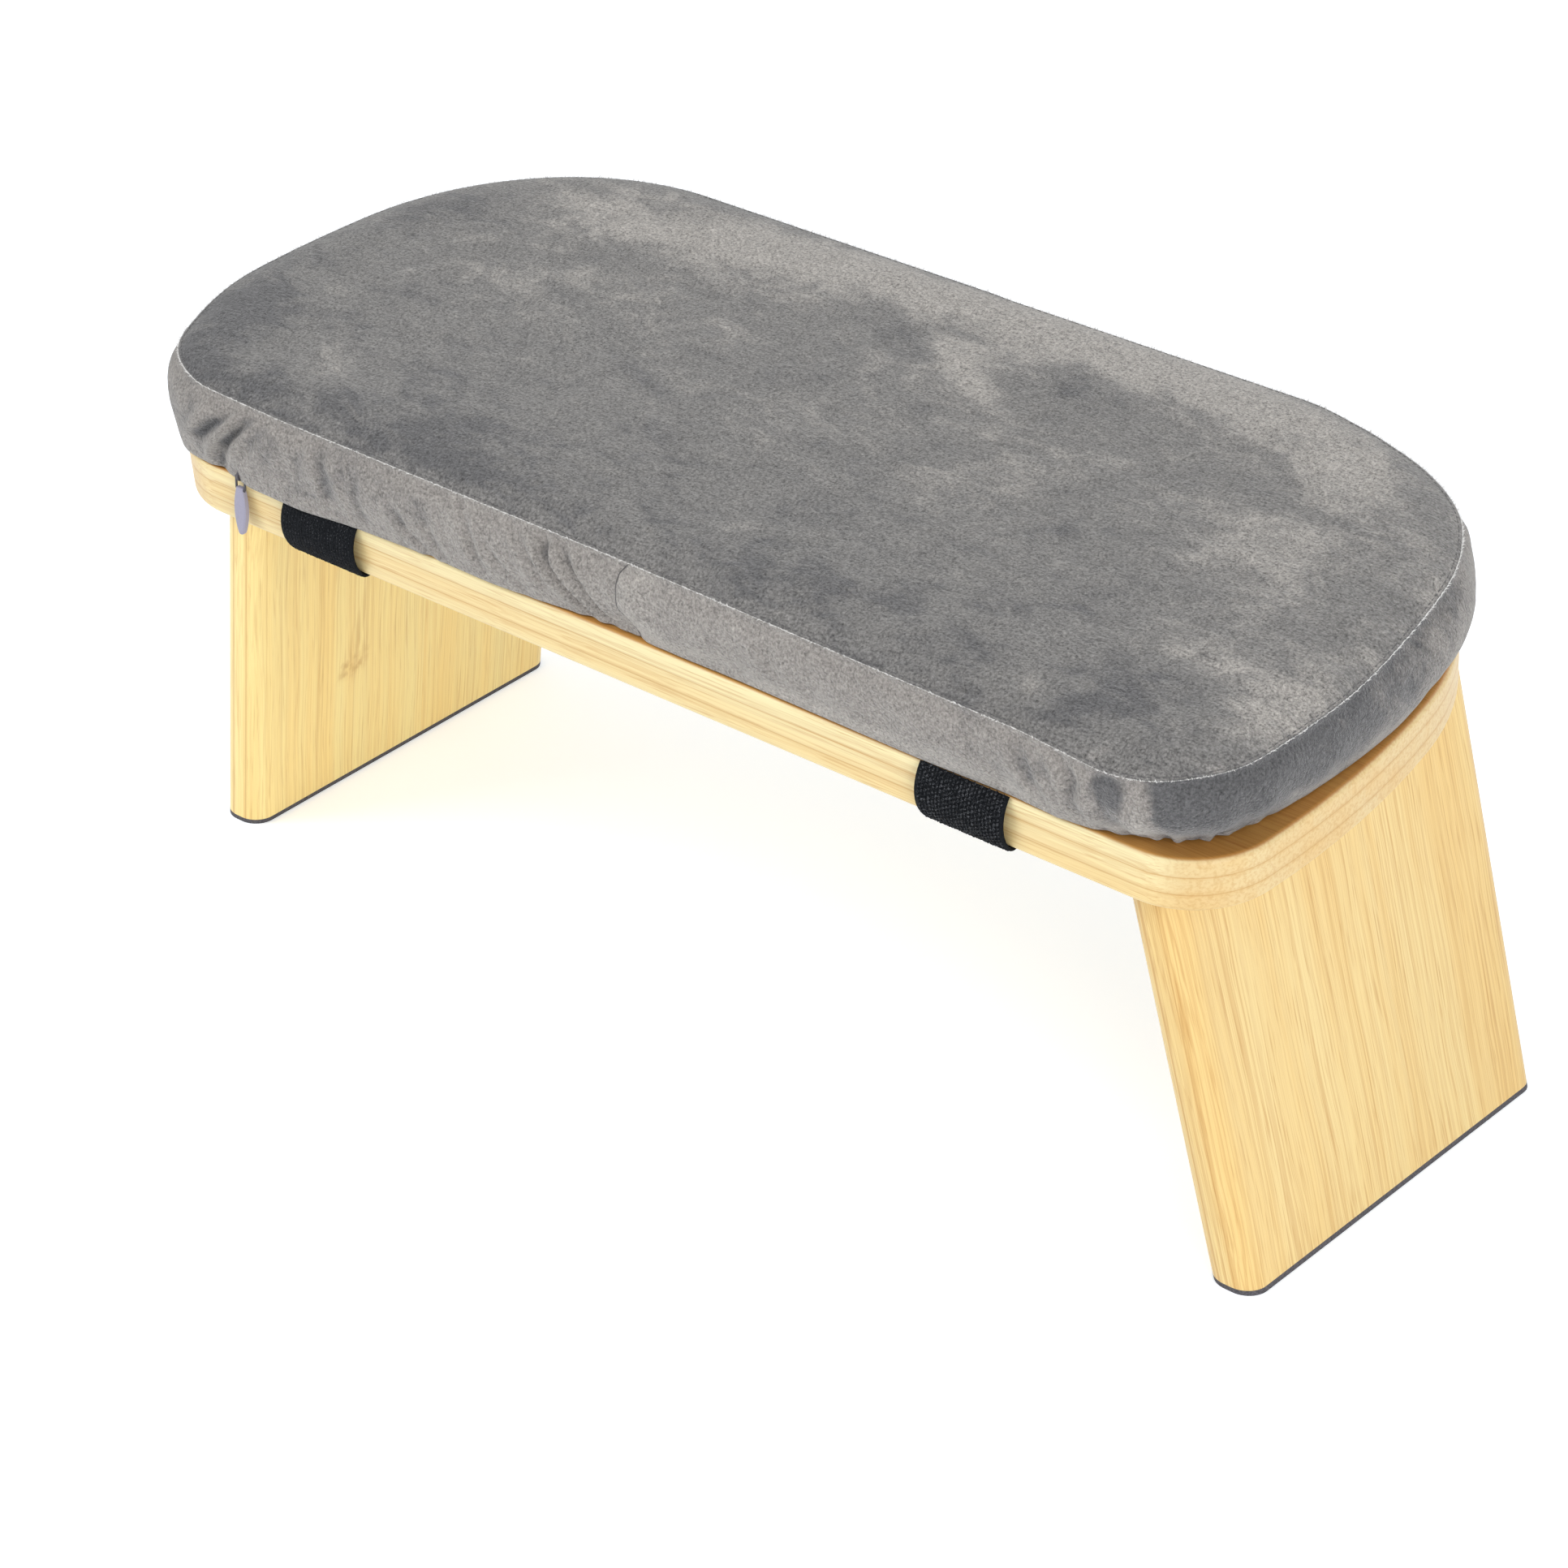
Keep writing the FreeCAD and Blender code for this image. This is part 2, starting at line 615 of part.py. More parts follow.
def make_legs(right_holes):
    up = dim("pin_offset") / cosine("leg_splay") + dim("leg_stop_gap")
    drop = dim("leg_drop") + dim("leg_width") * sine("seat_tilt") / cosine("seat_tilt")
    down = drop / cosine("leg_splay") + dim("leg_thickness") + dim("foot_pad_thickness")
    panel = leg_blank("leg_panel_blank", up, down)

    mortises = new_sketch(panel, "leg_mortises", "YZ_Plane", dim("pin_offset"))
    reach = dim("hinge_length") / 2 + dim("mortise_clearance")
    foot_end = -dim("leaf_width") - dim("mortise_clearance")
    for offset in hinge_offsets.values():
        add_rectangle(mortises, offset - reach, offset + reach, foot_end, up * 2)
    pocket(panel, mortises, dim("leaf_thickness"), flip=True)
    for where, offset in hinge_offsets.items():
        relief = new_sketch(panel, f"leg_{where}_relief", "XZ_Plane", -offset)
        add_circle(relief, 0, 0, dim("knuckle_radius") + dim("knuckle_relief"))
        pocket(panel, relief, reach * 2, midplane=True)

    # Everything above the seat's underside, and below the foot, is cut away
    span_x, span_y, span_z = dim("seat_length"), dim("seat_width") * 2, dim("leg_drop")
    above = seat_place * moved(0, -dim("seat_width"), -dim("leg_stop_gap"))
    below = moved(0, -dim("seat_width"), dim("foot_pad_thickness") - span_z)
    trimmed = cut("leg_top_cut", panel, box("above_underside", above, span_x, span_y, span_z))
    trimmed = cut("leg_foot_cut", trimmed, box("below_foot", below, span_x, span_y, span_z))
    trimmed = cut("leg_drilled", trimmed, right_holes)

    pad_slab = box("pad_slab", moved(0, -dim("seat_width"), 0), span_x, span_y, dim("foot_pad_thickness"))
    foot = doc.addObject("Part::Common", "foot_pad_common")
    foot.Base = leg_blank("foot_pad_blank", up, down)
    foot.Tool = pad_slab
    for thing, name in ((trimmed, "leg_panel"), (foot, "foot_pad")):
        publish(thing, "right_" + name)
        publish(mirrored(thing, "left_" + name), "left_" + name)


# Cushion

def add_links(sketch, ends):
    """Straight lines from end to end of geometry that is already there: (geometry, end, geometry, end)."""
    numbers = []
    for first, first_end, second, second_end in ends:
        line = Part.LineSegment(sketch.getPoint(first, first_end), sketch.getPoint(second, second_end))
        index = sketch.addGeometry(line, False)
        sketch.addConstraint(Sketcher.Constraint("Coincident", index, 1, first, first_end))
        sketch.addConstraint(Sketcher.Constraint("Coincident", index, 2, second, second_end))
        numbers.append(index)
    return numbers


def add_side(sketch, inset, low, high):
    """The cushion's front side in section: a drawn-in neck, a belly, and in again to the seam.

    Five pieces from the bottom up: neck line, two equal bends, belly line, top bend.
    """
    half, neck, start = dim("seat_width") / 2, dim("neck_height"), dim("belly_low")
    end, seam = dim("belly_high"), dim("cushion_height")
    neck_y, belly_y = -half - foot_growth, -half - belly_growth
    step, run = belly_growth - foot_growth, start - neck
    bend = (step * step + run * run) / (step * 4)
    swell, fall = dim("cushion_belly"), seam - end
    top_bend = (swell * swell + fall * fall) / (swell * 2)

    y0, y1, i = neck_y.number, belly_y.number, inset.number
    r, big = bend.number, top_bend.number
    turn = 2 * math.atan2(step.number, run.number)
    top_turn = math.asin((high - end).number / (big - i))
    half_turn = math.pi
    first = sketch.GeometryCount
    sketch.addGeometry([
        Part.LineSegment(flat(y0 + i, low), flat(y0 + i, neck)),
        arc(flat(y0 - r, neck), r + i, 0, turn),
        arc(flat(y1 + r, start), r - i, half_turn, half_turn + turn),
        Part.LineSegment(flat(y1 + i, start), flat(y1 + i, end)),
        arc(flat(y1 + big, end), big - i, half_turn - top_turn, half_turn),
    ], False)
    for one, one_end, other, other_end in ((0, 2, 1, 1), (1, 2, 2, 2), (2, 1, 3, 1), (3, 2, 4, 2)):
        tangent = Sketcher.Constraint("Tangent", first + one, one_end, first + other, other_end)
        sketch.addConstraint(tangent)
    for line in (0, 3):
        sketch.addConstraint(Sketcher.Constraint("Vertical", first + line))
    for index, radius in ((1, bend + inset), (2, bend - inset), (4, top_bend - inset)):
        constrain(sketch, radius, "Radius", first + index)
    pin_point(sketch, first, 1, neck_y + inset, low)
    pin_point(sketch, first, 2, along=neck)
    pin_point(sketch, first + 3, 1, along=start)
    pin_point(sketch, first + 3, 2, along=end)
    pin_point(sketch, first + 4, 1, along=high)
    return first


def add_crown(sketch, inset, low):
    """The crown's arc in section, level at its inner end, inset inwards and ending outside at a height."""
    reach, rise = dim("crown_reach"), dim("cushion_crown")
    radius = (reach * reach + rise * rise) / (rise * 2)
    centre_z = dim("cushion_height") + rise - radius
    turn = math.acos((low - centre_z).number / (radius - inset).number)
    quarter = math.pi / 2
    centre = flat(crown_end, centre_z)
    index = sketch.addGeometry(arc(centre, (radius - inset).number, quarter, quarter + turn), False)
    constrain(sketch, radius - inset, "Radius", index)
    pin_point(sketch, index, 3, crown_end, centre_z)
    pin_point(sketch, index, 1, across=crown_end)
    pin_point(sketch, index, 2, along=low)
    return index


def swept_round(body, name, profile):
    """Sweep a section of the cushion's front once round the seat's outline."""
    spine = new_sketch(body, name + "_spine", "XY_Plane")
    add_outline(spine, 0)
    pipe(body, profile, spine)


def filled_middle(body, name, low, thickness):
    """The level middle, inside the sweep."""
    plan = new_sketch(body, name + "_middle", "XY_Plane", low)
    add_outline(plan, dim("cushion_overhang") - dim("crown_reach"))
    pad(body, plan, thickness)


def make_cushion():
    cover, gap, seam = dim("cover_thickness"), dim("soft_gap"), dim("cushion_height")
    inside = cover + gap
    top = seam + dim("cushion_crown")

    core = new_body("foam_body", cushion_place)
    profile = new_sketch(core, "foam_profile", "YZ_Plane")
    side = add_side(profile, inside, inside, seam - gap)
    crown = add_crown(profile, inside, seam - gap)
    add_links(profile, [(side + 4, 1, crown, 2)])
    wall = Part.LineSegment(flat(crown_end, top - inside), flat(crown_end, inside))
    inner = profile.addGeometry(wall, False)
    profile.addConstraint(Sketcher.Constraint("Coincident", inner, 1, crown, 1))
    profile.addConstraint(Sketcher.Constraint("Vertical", inner))
    pin_point(profile, inner, 2, along=inside)
    add_links(profile, [(inner, 2, side, 1)])
    swept_round(core, "foam", profile)
    filled_middle(core, "foam", inside, top - inside * 2)
    publish(core, "cushion_foam")

    band = new_body("side_band_body", cushion_place)
    profile = new_sketch(band, "band_profile", "YZ_Plane")
    outer = add_side(profile, as_measure(0), as_measure(0), seam)
    inner = add_side(profile, cover, as_measure(0), seam)
    add_links(profile, [(outer, 1, inner, 1), (outer + 4, 1, inner + 4, 1)])
    swept_round(band, "band", profile)
    publish(band, "cushion_side_band")

    panel = new_body("top_panel_body", cushion_place)
    profile = new_sketch(panel, "top_panel_profile", "YZ_Plane")
    outer = add_crown(profile, as_measure(0), seam)
    inner = add_crown(profile, cover, seam)
    add_links(profile, [(outer, 1, inner, 1), (outer, 2, inner, 2)])
    swept_round(panel, "top_panel", profile)
    filled_middle(panel, "top_panel", top - cover, cover)
    publish(panel, "cushion_top_panel")

    base = new_body("bottom_panel_body", cushion_place)
    plan = new_sketch(base, "bottom_plan", "XY_Plane")
    add_outline(plan, foot_growth - cover - gap)
    pad(base, plan, cover)
    publish(base, "cushion_bottom_panel")


# Elastic straps

def make_strap(label, across):
    """A flat band from the cushion's front bottom seam, round under the board, to its back bottom seam."""
    body = new_body(label + "_body", seat_place * moved(across, 0, 0))
    middle = dim("soft_gap") + dim("strap_thickness") / 2
    bend = dim("edge_round") + middle
    bow = dim("strap_bow_radius")
    corner_y = dim("seat_width") / 2 - dim("edge_round")
    high_z = dim("seat_thickness") - dim("edge_round")
    low_z = dim("edge_round")
    top_z, bottom_z = dim("seat_thickness") + middle, -middle
    end_y = dim("seat_width") / 2 + foot_growth + dim("soft_gap")

    profile = new_sketch(body, label + "_profile", "XZ_Plane", end_y)
    half_width, half_thick = dim("strap_width") / 2, dim("strap_thickness") / 2
    add_rectangle(profile, -half_width, half_width, top_z - half_thick, top_z + half_thick)

    # The bow's arc touches both corner bends from inside, so its centre follows from the three radii
    r, big, y, high, low = bend.number, bow.number, corner_y.number, high_z.number, low_z.number
    tilt = math.asin((high - low) / 2 / (big - r))
    bow_y = -y + (big - r) * math.cos(tilt)
    bow_z = (high + low) / 2
    half_turn = math.pi
    quarter = half_turn / 2
    path = new_sketch(body, label + "_path", "YZ_Plane")
    path.addGeometry([
        Part.LineSegment(Vector(-end_y.number, top_z.number, 0), Vector(-y, top_z.number, 0)),
        arc(Vector(-y, high, 0), r, quarter, half_turn - tilt),
        arc(Vector(bow_y, bow_z, 0), big, half_turn - tilt, half_turn + tilt),
        arc(Vector(-y, low, 0), r, half_turn + tilt, 3 * quarter),
        Part.LineSegment(Vector(-y, bottom_z.number, 0), Vector(y, bottom_z.number, 0)),
        arc(Vector(y, low, 0), r, -quarter, -tilt),
        arc(Vector(-bow_y, bow_z, 0), big, -tilt, tilt),
        arc(Vector(y, high, 0), r, tilt, quarter),
        Part.LineSegment(Vector(y, top_z.number, 0), Vector(end_y.number, top_z.number, 0)),
    ], False)
    for index in range(8):
        path.addConstraint(Sketcher.Constraint("Tangent", index, 2, index + 1, 1))
    for index in (3, 5, 7):
        path.addConstraint(Sketcher.Constraint("Equal", 1, index))
    path.addConstraint(Sketcher.Constraint("Equal", 2, 6))
    constrain(path, bend, "Radius", 1)
    constrain(path, bow, "Radius", 2)
    for index, side_z in ((1, high_z), (3, low_z)):
        pin_point(path, index, 3, -corner_y, side_z)
    for index, side_z in ((5, low_z), (7, high_z)):
        pin_point(path, index, 3, corner_y, side_z)
    pin_point(path, 0, 1, -end_y, top_z)
    pin_point(path, 8, 2, end_y, top_z)
    pipe(body, profile, path)
    publish(body, label)


# Zipper

chain_place = cushion_place * moved(0, 0, dim("chain_lift"))
slider_place = seat_place * moved(
    dim("slider_x") - dim("seat_length") / 2,
    -(dim("seat_width") / 2 + foot_growth),
    dim("seat_thickness") + dim("soft_gap") + dim("chain_lift"),
)
chain_face = dim("soft_gap") + dim("chain_thickness")
slider_face = chain_face + dim("soft_gap") + dim("slider_wall")
bail_room = dim("bridge_wire_radius") + dim("bail_play") + dim("bail_wire_radius")
bail_centre = slider_face + dim("bridge_reach") - bail_room
bail_sag = dim("bridge_half_span") - bail_room


def make_zipper_chain():
    """A strip that follows the bottom seam round the left end, cut off at the slider."""
    body = new_body("zipper_chain_body", chain_place)
    outer = new_sketch(body, "chain_outer", "XY_Plane")
    add_outline(outer, foot_growth + chain_face)
    pad(body, outer, dim("chain_height"), midplane=True)
    inner = new_sketch(body, "chain_inner", "XY_Plane")
    add_outline(inner, foot_growth + dim("soft_gap"))
    pocket(body, inner, dim("chain_height") * 2, midplane=True)
    rest = new_sketch(body, "chain_rest", "XY_Plane")
    start = dim("cushion_shift") + dim("slider_x") - dim("seat_length") / 2
    add_rectangle(rest, start, dim("seat_length"), -dim("seat_width"), dim("seat_width"))
    pocket(body, rest, dim("chain_height") * 2, midplane=True)
    publish(body, "zipper_chain")


def make_slider():
    """A C-shaped slider over the chain, with a wire bridge that the pull's bail hangs in.

    -Y points outwards.
    """
    body = new_body("zipper_slider_body", slider_place)
    half_length, half_height = dim("slider_length") / 2, dim("slider_height") / 2
    lip = dim("soft_gap") * 2
    block = new_sketch(body, "slider_block", "XZ_Plane", lip)
    add_rounded_rectangle(block, -half_length, half_length, -half_height, half_height, dim("slider_corner"))
    pad(body, block, slider_face - lip)
    channel = new_sketch(body, "slider_channel", "XZ_Plane", lip)
    room = dim("chain_height") / 2 + dim("soft_gap")
    add_rectangle(channel, -half_length * 2, half_length * 2, -room, room)
    pocket(body, channel, chain_face + dim("soft_gap") - lip, flip=True)

    wire = new_sketch(body, "bridge_wire", "XZ_Plane", slider_face - dim("slider_wall") / 2)
    add_circle(wire, 0, dim("bridge_half_span"), dim("bridge_wire_radius"))
    path = new_sketch(body, "bridge_path", "YZ_Plane")
    start, far = -(slider_face - dim("slider_wall") / 2), -(slider_face + dim("bridge_reach"))
    span, bend = dim("bridge_half_span"), dim("bridge_bend")
    y0, y1, z1, r = start.number, far.number, span.number, bend.number
    quarter = math.pi / 2
    path.addGeometry([
        Part.LineSegment(Vector(y0, z1, 0), Vector(y1 + r, z1, 0)),
        arc(Vector(y1 + r, z1 - r, 0), r, quarter, 2 * quarter),
        Part.LineSegment(Vector(y1, z1 - r, 0), Vector(y1, r - z1, 0)),
        arc(Vector(y1 + r, r - z1, 0), r, 2 * quarter, 3 * quarter),
        Part.LineSegment(Vector(y1 + r, -z1, 0), Vector(y0, -z1, 0)),
    ], False)
    for index in range(4):
        path.addConstraint(Sketcher.Constraint("Tangent", index, 2, index + 1, 1))
    path.addConstraint(Sketcher.Constraint("Equal", 1, 3))
    constrain(path, bend, "Radius", 1)
    pin_point(path, 0, 1, start, span)
    pin_point(path, 4, 2, start, -span)
    path.addConstraint(Sketcher.Constraint("Vertical", 2))
    path.addConstraint(Sketcher.Constraint("Horizontal", 0))
    pin_point(path, 2, 1, across=far)
    pipe(body, wire, path)
    publish(body, "zipper_slider")


def make_pull():
    """Wire bail and moulded tab, hanging plumb from the slider's bridge."""
    pivot = slider_place * moved(0, -bail_centre, -bail_sag)
    hang = Placement(pivot.Base, Rotation())
    bail = new_body("pull_bail_body", hang)
    path = new_sketch(bail, "bail_path", "XZ_Plane")
    half = dim("bail_width") / 2
    add_rounded_rectangle(path, -half, half, -dim("bail_height"), as_measure(0.0), dim("bail_bend"))
    wire = new_sketch(bail, "bail_wire", "YZ_Plane")
    add_circle(wire, 0, 0, dim("bail_wire_radius"))
    pipe(bail, wire, path)
    publish(bail, "zipper_pull_bail")

    tab = new_body("pull_tab_body", hang * moved(0, 0, dim("tab_eye_drop") - dim("bail_height")))
    outline = new_sketch(tab, "tab_outline", "XZ_Plane")
    add_tab_outline(outline)
    slab = pad(tab, outline, dim("tab_thickness"), midplane=True)
    doc.recompute()
    rim = []
    for number, edge in enumerate(slab.Shape.Edges, start=1):
        depth = [vertex.Y for vertex in edge.Vertexes]
        if max(depth) - min(depth) < SAME:
            rim.append(f"Edge{number}")
    rounded = tab.newObject("PartDesign::Fillet", "tab_edges")
    rounded.Base = (slab, rim)
    bind(rounded, "Radius", dim("tab_round"))
    eye = new_sketch(tab, "tab_eye", "YZ_Plane")
    add_circle(eye, 0, -dim("tab_eye_drop"), dim("bail_wire_radius") + dim("eye_play"))
    pocket(tab, eye, dim("tab_length"), midplane=True)
    publish(tab, "zipper_pull_tab")


def add_tab_outline(sketch):
    """A drop: narrow neck at the top, long bowed sides, and a round foot that the sides run into."""
    neck, foot = dim("tab_neck") / 2, dim("tab_foot") / 2
    foot_z = foot - dim("tab_length")
    side = dim("tab_side_radius")
    n, r, z, big = neck.number, foot.number, foot_z.number, side.number
    # The right side's centre is one side radius from the neck, and from the foot's centre by the difference
    apart = math.hypot(n, z)
    along = (big ** 2 - (big - r) ** 2 + apart ** 2) / (2 * apart)
    off = math.sqrt(big ** 2 - along ** 2)
    unit_x, unit_z = -n / apart, z / apart
    centre_x, centre_z = n + along * unit_x + off * unit_z, along * unit_z - off * unit_x
    low, high = math.atan2(z - centre_z, -centre_x), math.atan2(-centre_z, n - centre_x)
    half_turn = math.pi
    sketch.addGeometry([
        arc(Vector(centre_x, centre_z, 0), big, low, high),
        Part.LineSegment(flat(neck, 0), flat(-neck, 0)),
        arc(Vector(-centre_x, centre_z, 0), big, half_turn - high, half_turn - low),
        arc(Vector(0, z, 0), r, half_turn - low, 2 * half_turn + low),
    ], False)
    for index, kind in ((0, "Coincident"), (1, "Coincident"), (2, "Tangent"), (3, "Tangent")):
        sketch.addConstraint(Sketcher.Constraint(kind, index, 2, (index + 1) % 4, 1))
    sketch.addConstraint(Sketcher.Constraint("Equal", 0, 2))
    sketch.addConstraint(Sketcher.Constraint("PointOnObject", 1, 1, -1))
    sketch.addConstraint(Sketcher.Constraint("PointOnObject", 1, 2, -1))
    sketch.addConstraint(Sketcher.Constraint("PointOnObject", 3, 3, -2))
    pin_point(sketch, 1, 1, across=neck)
    pin_point(sketch, 1, 2, across=-neck)
    pin_point(sketch, 3, 3, along=foot_z)
    constrain(sketch, foot, "Radius", 3)
    constrain(sketch, side, "Radius", 0)


def build():
    screw = screw_body("wood_screw", as_measure(0))
    screw_hole = screw_body("wood_screw_hole", dim("screw_clearance"))
    seat_holes, leg_holes = make_hinges(screw, screw_hole)
    make_seat_board(seat_holes)
    make_legs(leg_holes)
    make_cushion()
    make_strap("left_elastic_strap", dim("left_strap_x") - dim("seat_length") / 2)
    make_strap("right_elastic_strap", dim("seat_length") / 2 - dim("right_strap_x"))
    make_zipper_chain()
    make_slider()
    make_pull()
    doc.recompute()


def check():
    """Stop before anything is written if any object failed or any sub-part is not a sound solid."""
    for thing in doc.Objects:
        if "Invalid" in thing.State or "Error" in thing.State:
            raise RuntimeError(f"{thing.Name} did not build: {thing.State}")
    for thing in nodes:
        if thing.Shape.isNull() or not thing.Shape.isValid() or not thing.Shape.Solids:
            raise RuntimeError(f"{thing.Label} is not a sound solid")


def export():
    os.makedirs("parts", exist_ok=True)
    for thing in nodes:
        thing.Shape.exportStep(f"parts/{thing.Label}.step")


build()
check()
export()
whole = Part.makeCompound([thing.Shape for thing in nodes]).optimalBoundingBox(False)
print(f"{len(nodes)} sub-parts, {whole.XLength:.1f} x {whole.YLength:.1f} x {whole.ZLength:.1f} mm")
print(f"X {whole.XMin:.2f} to {whole.XMax:.2f}, Y {whole.YMin:.2f} to {whole.YMax:.2f}, Z {whole.ZMin:.2f}")
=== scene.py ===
import json
import math

import bmesh
import bpy
import numpy as np
from bpy.props import FloatProperty, FloatVectorProperty, IntProperty, PointerProperty
from mathutils import Euler, Matrix, Vector
from mathutils.bvhtree import BVHTree


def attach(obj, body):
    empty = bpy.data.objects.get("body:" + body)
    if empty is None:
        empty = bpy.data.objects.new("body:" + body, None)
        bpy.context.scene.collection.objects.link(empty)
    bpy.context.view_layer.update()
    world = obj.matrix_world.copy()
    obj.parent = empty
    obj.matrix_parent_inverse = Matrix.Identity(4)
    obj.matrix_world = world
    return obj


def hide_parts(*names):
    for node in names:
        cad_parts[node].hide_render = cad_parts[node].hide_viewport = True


bl_info = {
    "name": "Folding meditation bench",
    "version": (1, 0, 0),
    "blender": (4, 5, 0),
    "location": "View3D > Sidebar > Bench",
    "description": "Dresses the bench's frame with bamboo, plush, elastic straps, a zipper and screws",
    "category": "Add Mesh",
}

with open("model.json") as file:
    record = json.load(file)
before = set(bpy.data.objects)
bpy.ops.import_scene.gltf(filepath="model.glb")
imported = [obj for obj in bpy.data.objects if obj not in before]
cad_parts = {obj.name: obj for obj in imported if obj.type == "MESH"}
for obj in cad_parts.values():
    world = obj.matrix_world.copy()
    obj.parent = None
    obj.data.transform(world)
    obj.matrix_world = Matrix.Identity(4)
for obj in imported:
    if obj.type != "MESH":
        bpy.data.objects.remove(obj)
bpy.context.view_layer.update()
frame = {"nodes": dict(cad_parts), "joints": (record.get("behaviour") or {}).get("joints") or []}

MM = 0.001
LEGS = ("right", "left")
HINGES = ("front", "back")
WHOLE = Matrix.Identity(4)


# Sizes and colours

def metres(name, description, default):
    return FloatProperty(name=name, description=description, default=default, unit="LENGTH")


def tint(name, description, *default):
    return FloatVectorProperty(name=name, description=description, default=default, subtype="COLOR")


class CushionSettings(bpy.types.PropertyGroup):
    """The plush cushion that lies on the board."""
    height: metres("Height", "From the cushion's underside to its top seam", 0.0304)
    crown: metres("Crown", "Rise of the top above its seam", 0.005)
    crown_reach: metres("Crown reach", "How far in from the seam the crown levels off", 0.022)
    overhang: metres("Overhang", "How far the cover of the frame stands outside the board", 0.0017)
    foot_inset: metres("Foot inset", "How far the sides draw in above the zipper", 0.005)
    shift: metres("Shift", "How far the cushion sits to the left", 0.003)
    lift: metres("Lift", "Room between cushion and board", 0.0003)
    around: IntProperty(name="Around", description="Cells along the front, and along the back", default=164)
    deep: IntProperty(name="Deep", description="Cells along each end", default=44)
    pressure: FloatProperty(name="Pressure", description="Push of the filling on its cover", default=4.0)
    slack: FloatProperty(name="Slack", description="Spare cloth in the cover, as a share", default=0.012)
    reach: metres("Reach", "How far the filling may move the cover", 0.0022)
    tuft_spacing: metres("Tuft spacing", "From tuft to tuft of pile along the seam", 0.0006)
    stitch: metres("Stitch", "From stitch to stitch along the seam", 0.0027)
    top_colour: tint("Top", "Plush of the top panel", 0.198, 0.193, 0.188)
    # Partly painted highlight: the brushed colours also stand in for light caught by the pile, as along the
    # back rim
    brushed_and_lit_colour: tint("Top, brushed", "Where the top's pile is brushed to the light", 0.372, 0.352, 0.330)
    side_brushed_and_lit_colour: tint("Side, brushed", "The same on the side band", 0.385, 0.363, 0.338)
    shaded_colour: tint("Shaded", "Plush where the pile leans away", 0.118, 0.118, 0.122)
    # Partly painted light: the side band is lighter than the top partly by its pile and partly as painted
    # light from the front
    side_colour_with_front_light: tint("Side", "Plush of the side band", 0.298, 0.279, 0.262)
    # Partly painted highlight: the pale seam colour is the pile ends and the light they catch along the
    # crease
    seam_highlight_colour: tint("Seam", "Pile ends along the top seam", 0.78, 0.76, 0.73)
    thread_colour: tint("Thread", "Sewing thread", 0.085, 0.083, 0.085)


class StrapSettings(bpy.types.PropertyGroup):
    """The two elastic straps."""
    width: metres("Width", "Elastic width", 0.035)
    thickness: metres("Thickness", "Elastic thickness", 0.0011)
    row_pitch: metres("Row pitch", "From woven row to row", 0.0014)
    stitch_pitch: metres("Weave pitch", "From raised yarn to yarn along a row", 0.0016)
    rib_pitch: metres("Rib pitch", "From fine rib to rib across the band", 0.0011)
    colour: tint("Elastic", "Woven elastic", 0.0036, 0.0047, 0.0066)
    # Painted highlight: the paler thread colour on the raised yarns stands in for light catching them
    thread_colour: tint("Rubber thread", "Paler threads between the ribs", 0.095, 0.100, 0.110)


class ZipperSettings(bpy.types.PropertyGroup):
    """The zipper of the cushion's cover."""
    tooth_pitch: metres("Tooth pitch", "From tooth to tooth", 0.0015)
    tape_height: metres("Tape height", "Width of the tape that shows", 0.0044)
    tape_thickness: metres("Tape thickness", "Thickness of the tape", 0.0006)
    rise: metres("Rise", "From the cushion's underside to the chain's middle", 0.0024)
    tape_colour: tint("Tape", "Woven zipper tape", 0.10, 0.10, 0.105)
    metal_colour: tint("Metal", "Painted slider and wire bail", 0.07, 0.065, 0.075)
    tab_colour: tint("Tab", "Moulded pull tab", 0.31, 0.30, 0.385)


class WoodSettings(bpy.types.PropertyGroup):
    """The bamboo of the seat board and the legs."""
    board_pale: tint("Board, pale", "Palest strips of the board", 0.89, 0.80, 0.475)
    board_amber: tint("Board, amber", "Warmest strips of the board", 0.86, 0.65, 0.30)
    right_leg_pale: tint("Right leg, pale", "Palest strips of the right leg", 0.86, 0.68, 0.320)
    right_leg_amber: tint("Right leg, amber", "Warmest strips of the right leg", 0.83, 0.57, 0.210)
    # Painted light: the left leg's colours are paler than the right leg's, making up for the shade under the
    # seat where its face lies
    left_leg_pale: tint("Left leg, pale", "Palest strips of the left leg", 1.0, 0.84, 0.390)
    left_leg_amber: tint("Left leg, amber", "Warmest strips of the left leg", 1.0, 0.70, 0.245)
    line: tint("Fibre lines", "Dark fibres and glue lines", 0.56, 0.29, 0.075)
    # Painted shade: the board's top face is multiplied by this colour, standing in for the shadow and warm
    # bounce light under the cushion
    face: tint("Top face shade", "What the board's top face keeps of its colour", 0.70, 0.41, 0.18)
    strip: metres("Strip width", "Width of one strip", 0.020)


class HardwareSettings(bpy.types.PropertyGroup):
    """Hinges, screws and foot pads."""
    steel: tint("Steel", "Brushed hinge steel", 0.62, 0.61, 0.59)
    rubber: tint("Rubber", "Anti-slip foot pads", 0.135, 0.130, 0.145)
    head_radius: metres("Head radius", "Screw head radius", 0.003)


class StageSettings(bpy.types.PropertyGroup):
    """Camera, lights and floor."""
    camera_place: FloatVectorProperty(
        name="Camera", description="Where the camera stands", subtype="TRANSLATION", unit="LENGTH",
        default=(0.815898, -1.050790, 0.848813))
    camera_turn: FloatVectorProperty(
        name="Camera turn", description="How the camera is turned", subtype="EULER",
        default=(math.radians(59.7395), math.radians(-1.2461), math.radians(39.1263)))
    lens: FloatProperty(name="Lens", description="Focal length in mm on a 36 mm frame", default=99.03)


# The seat's own frame

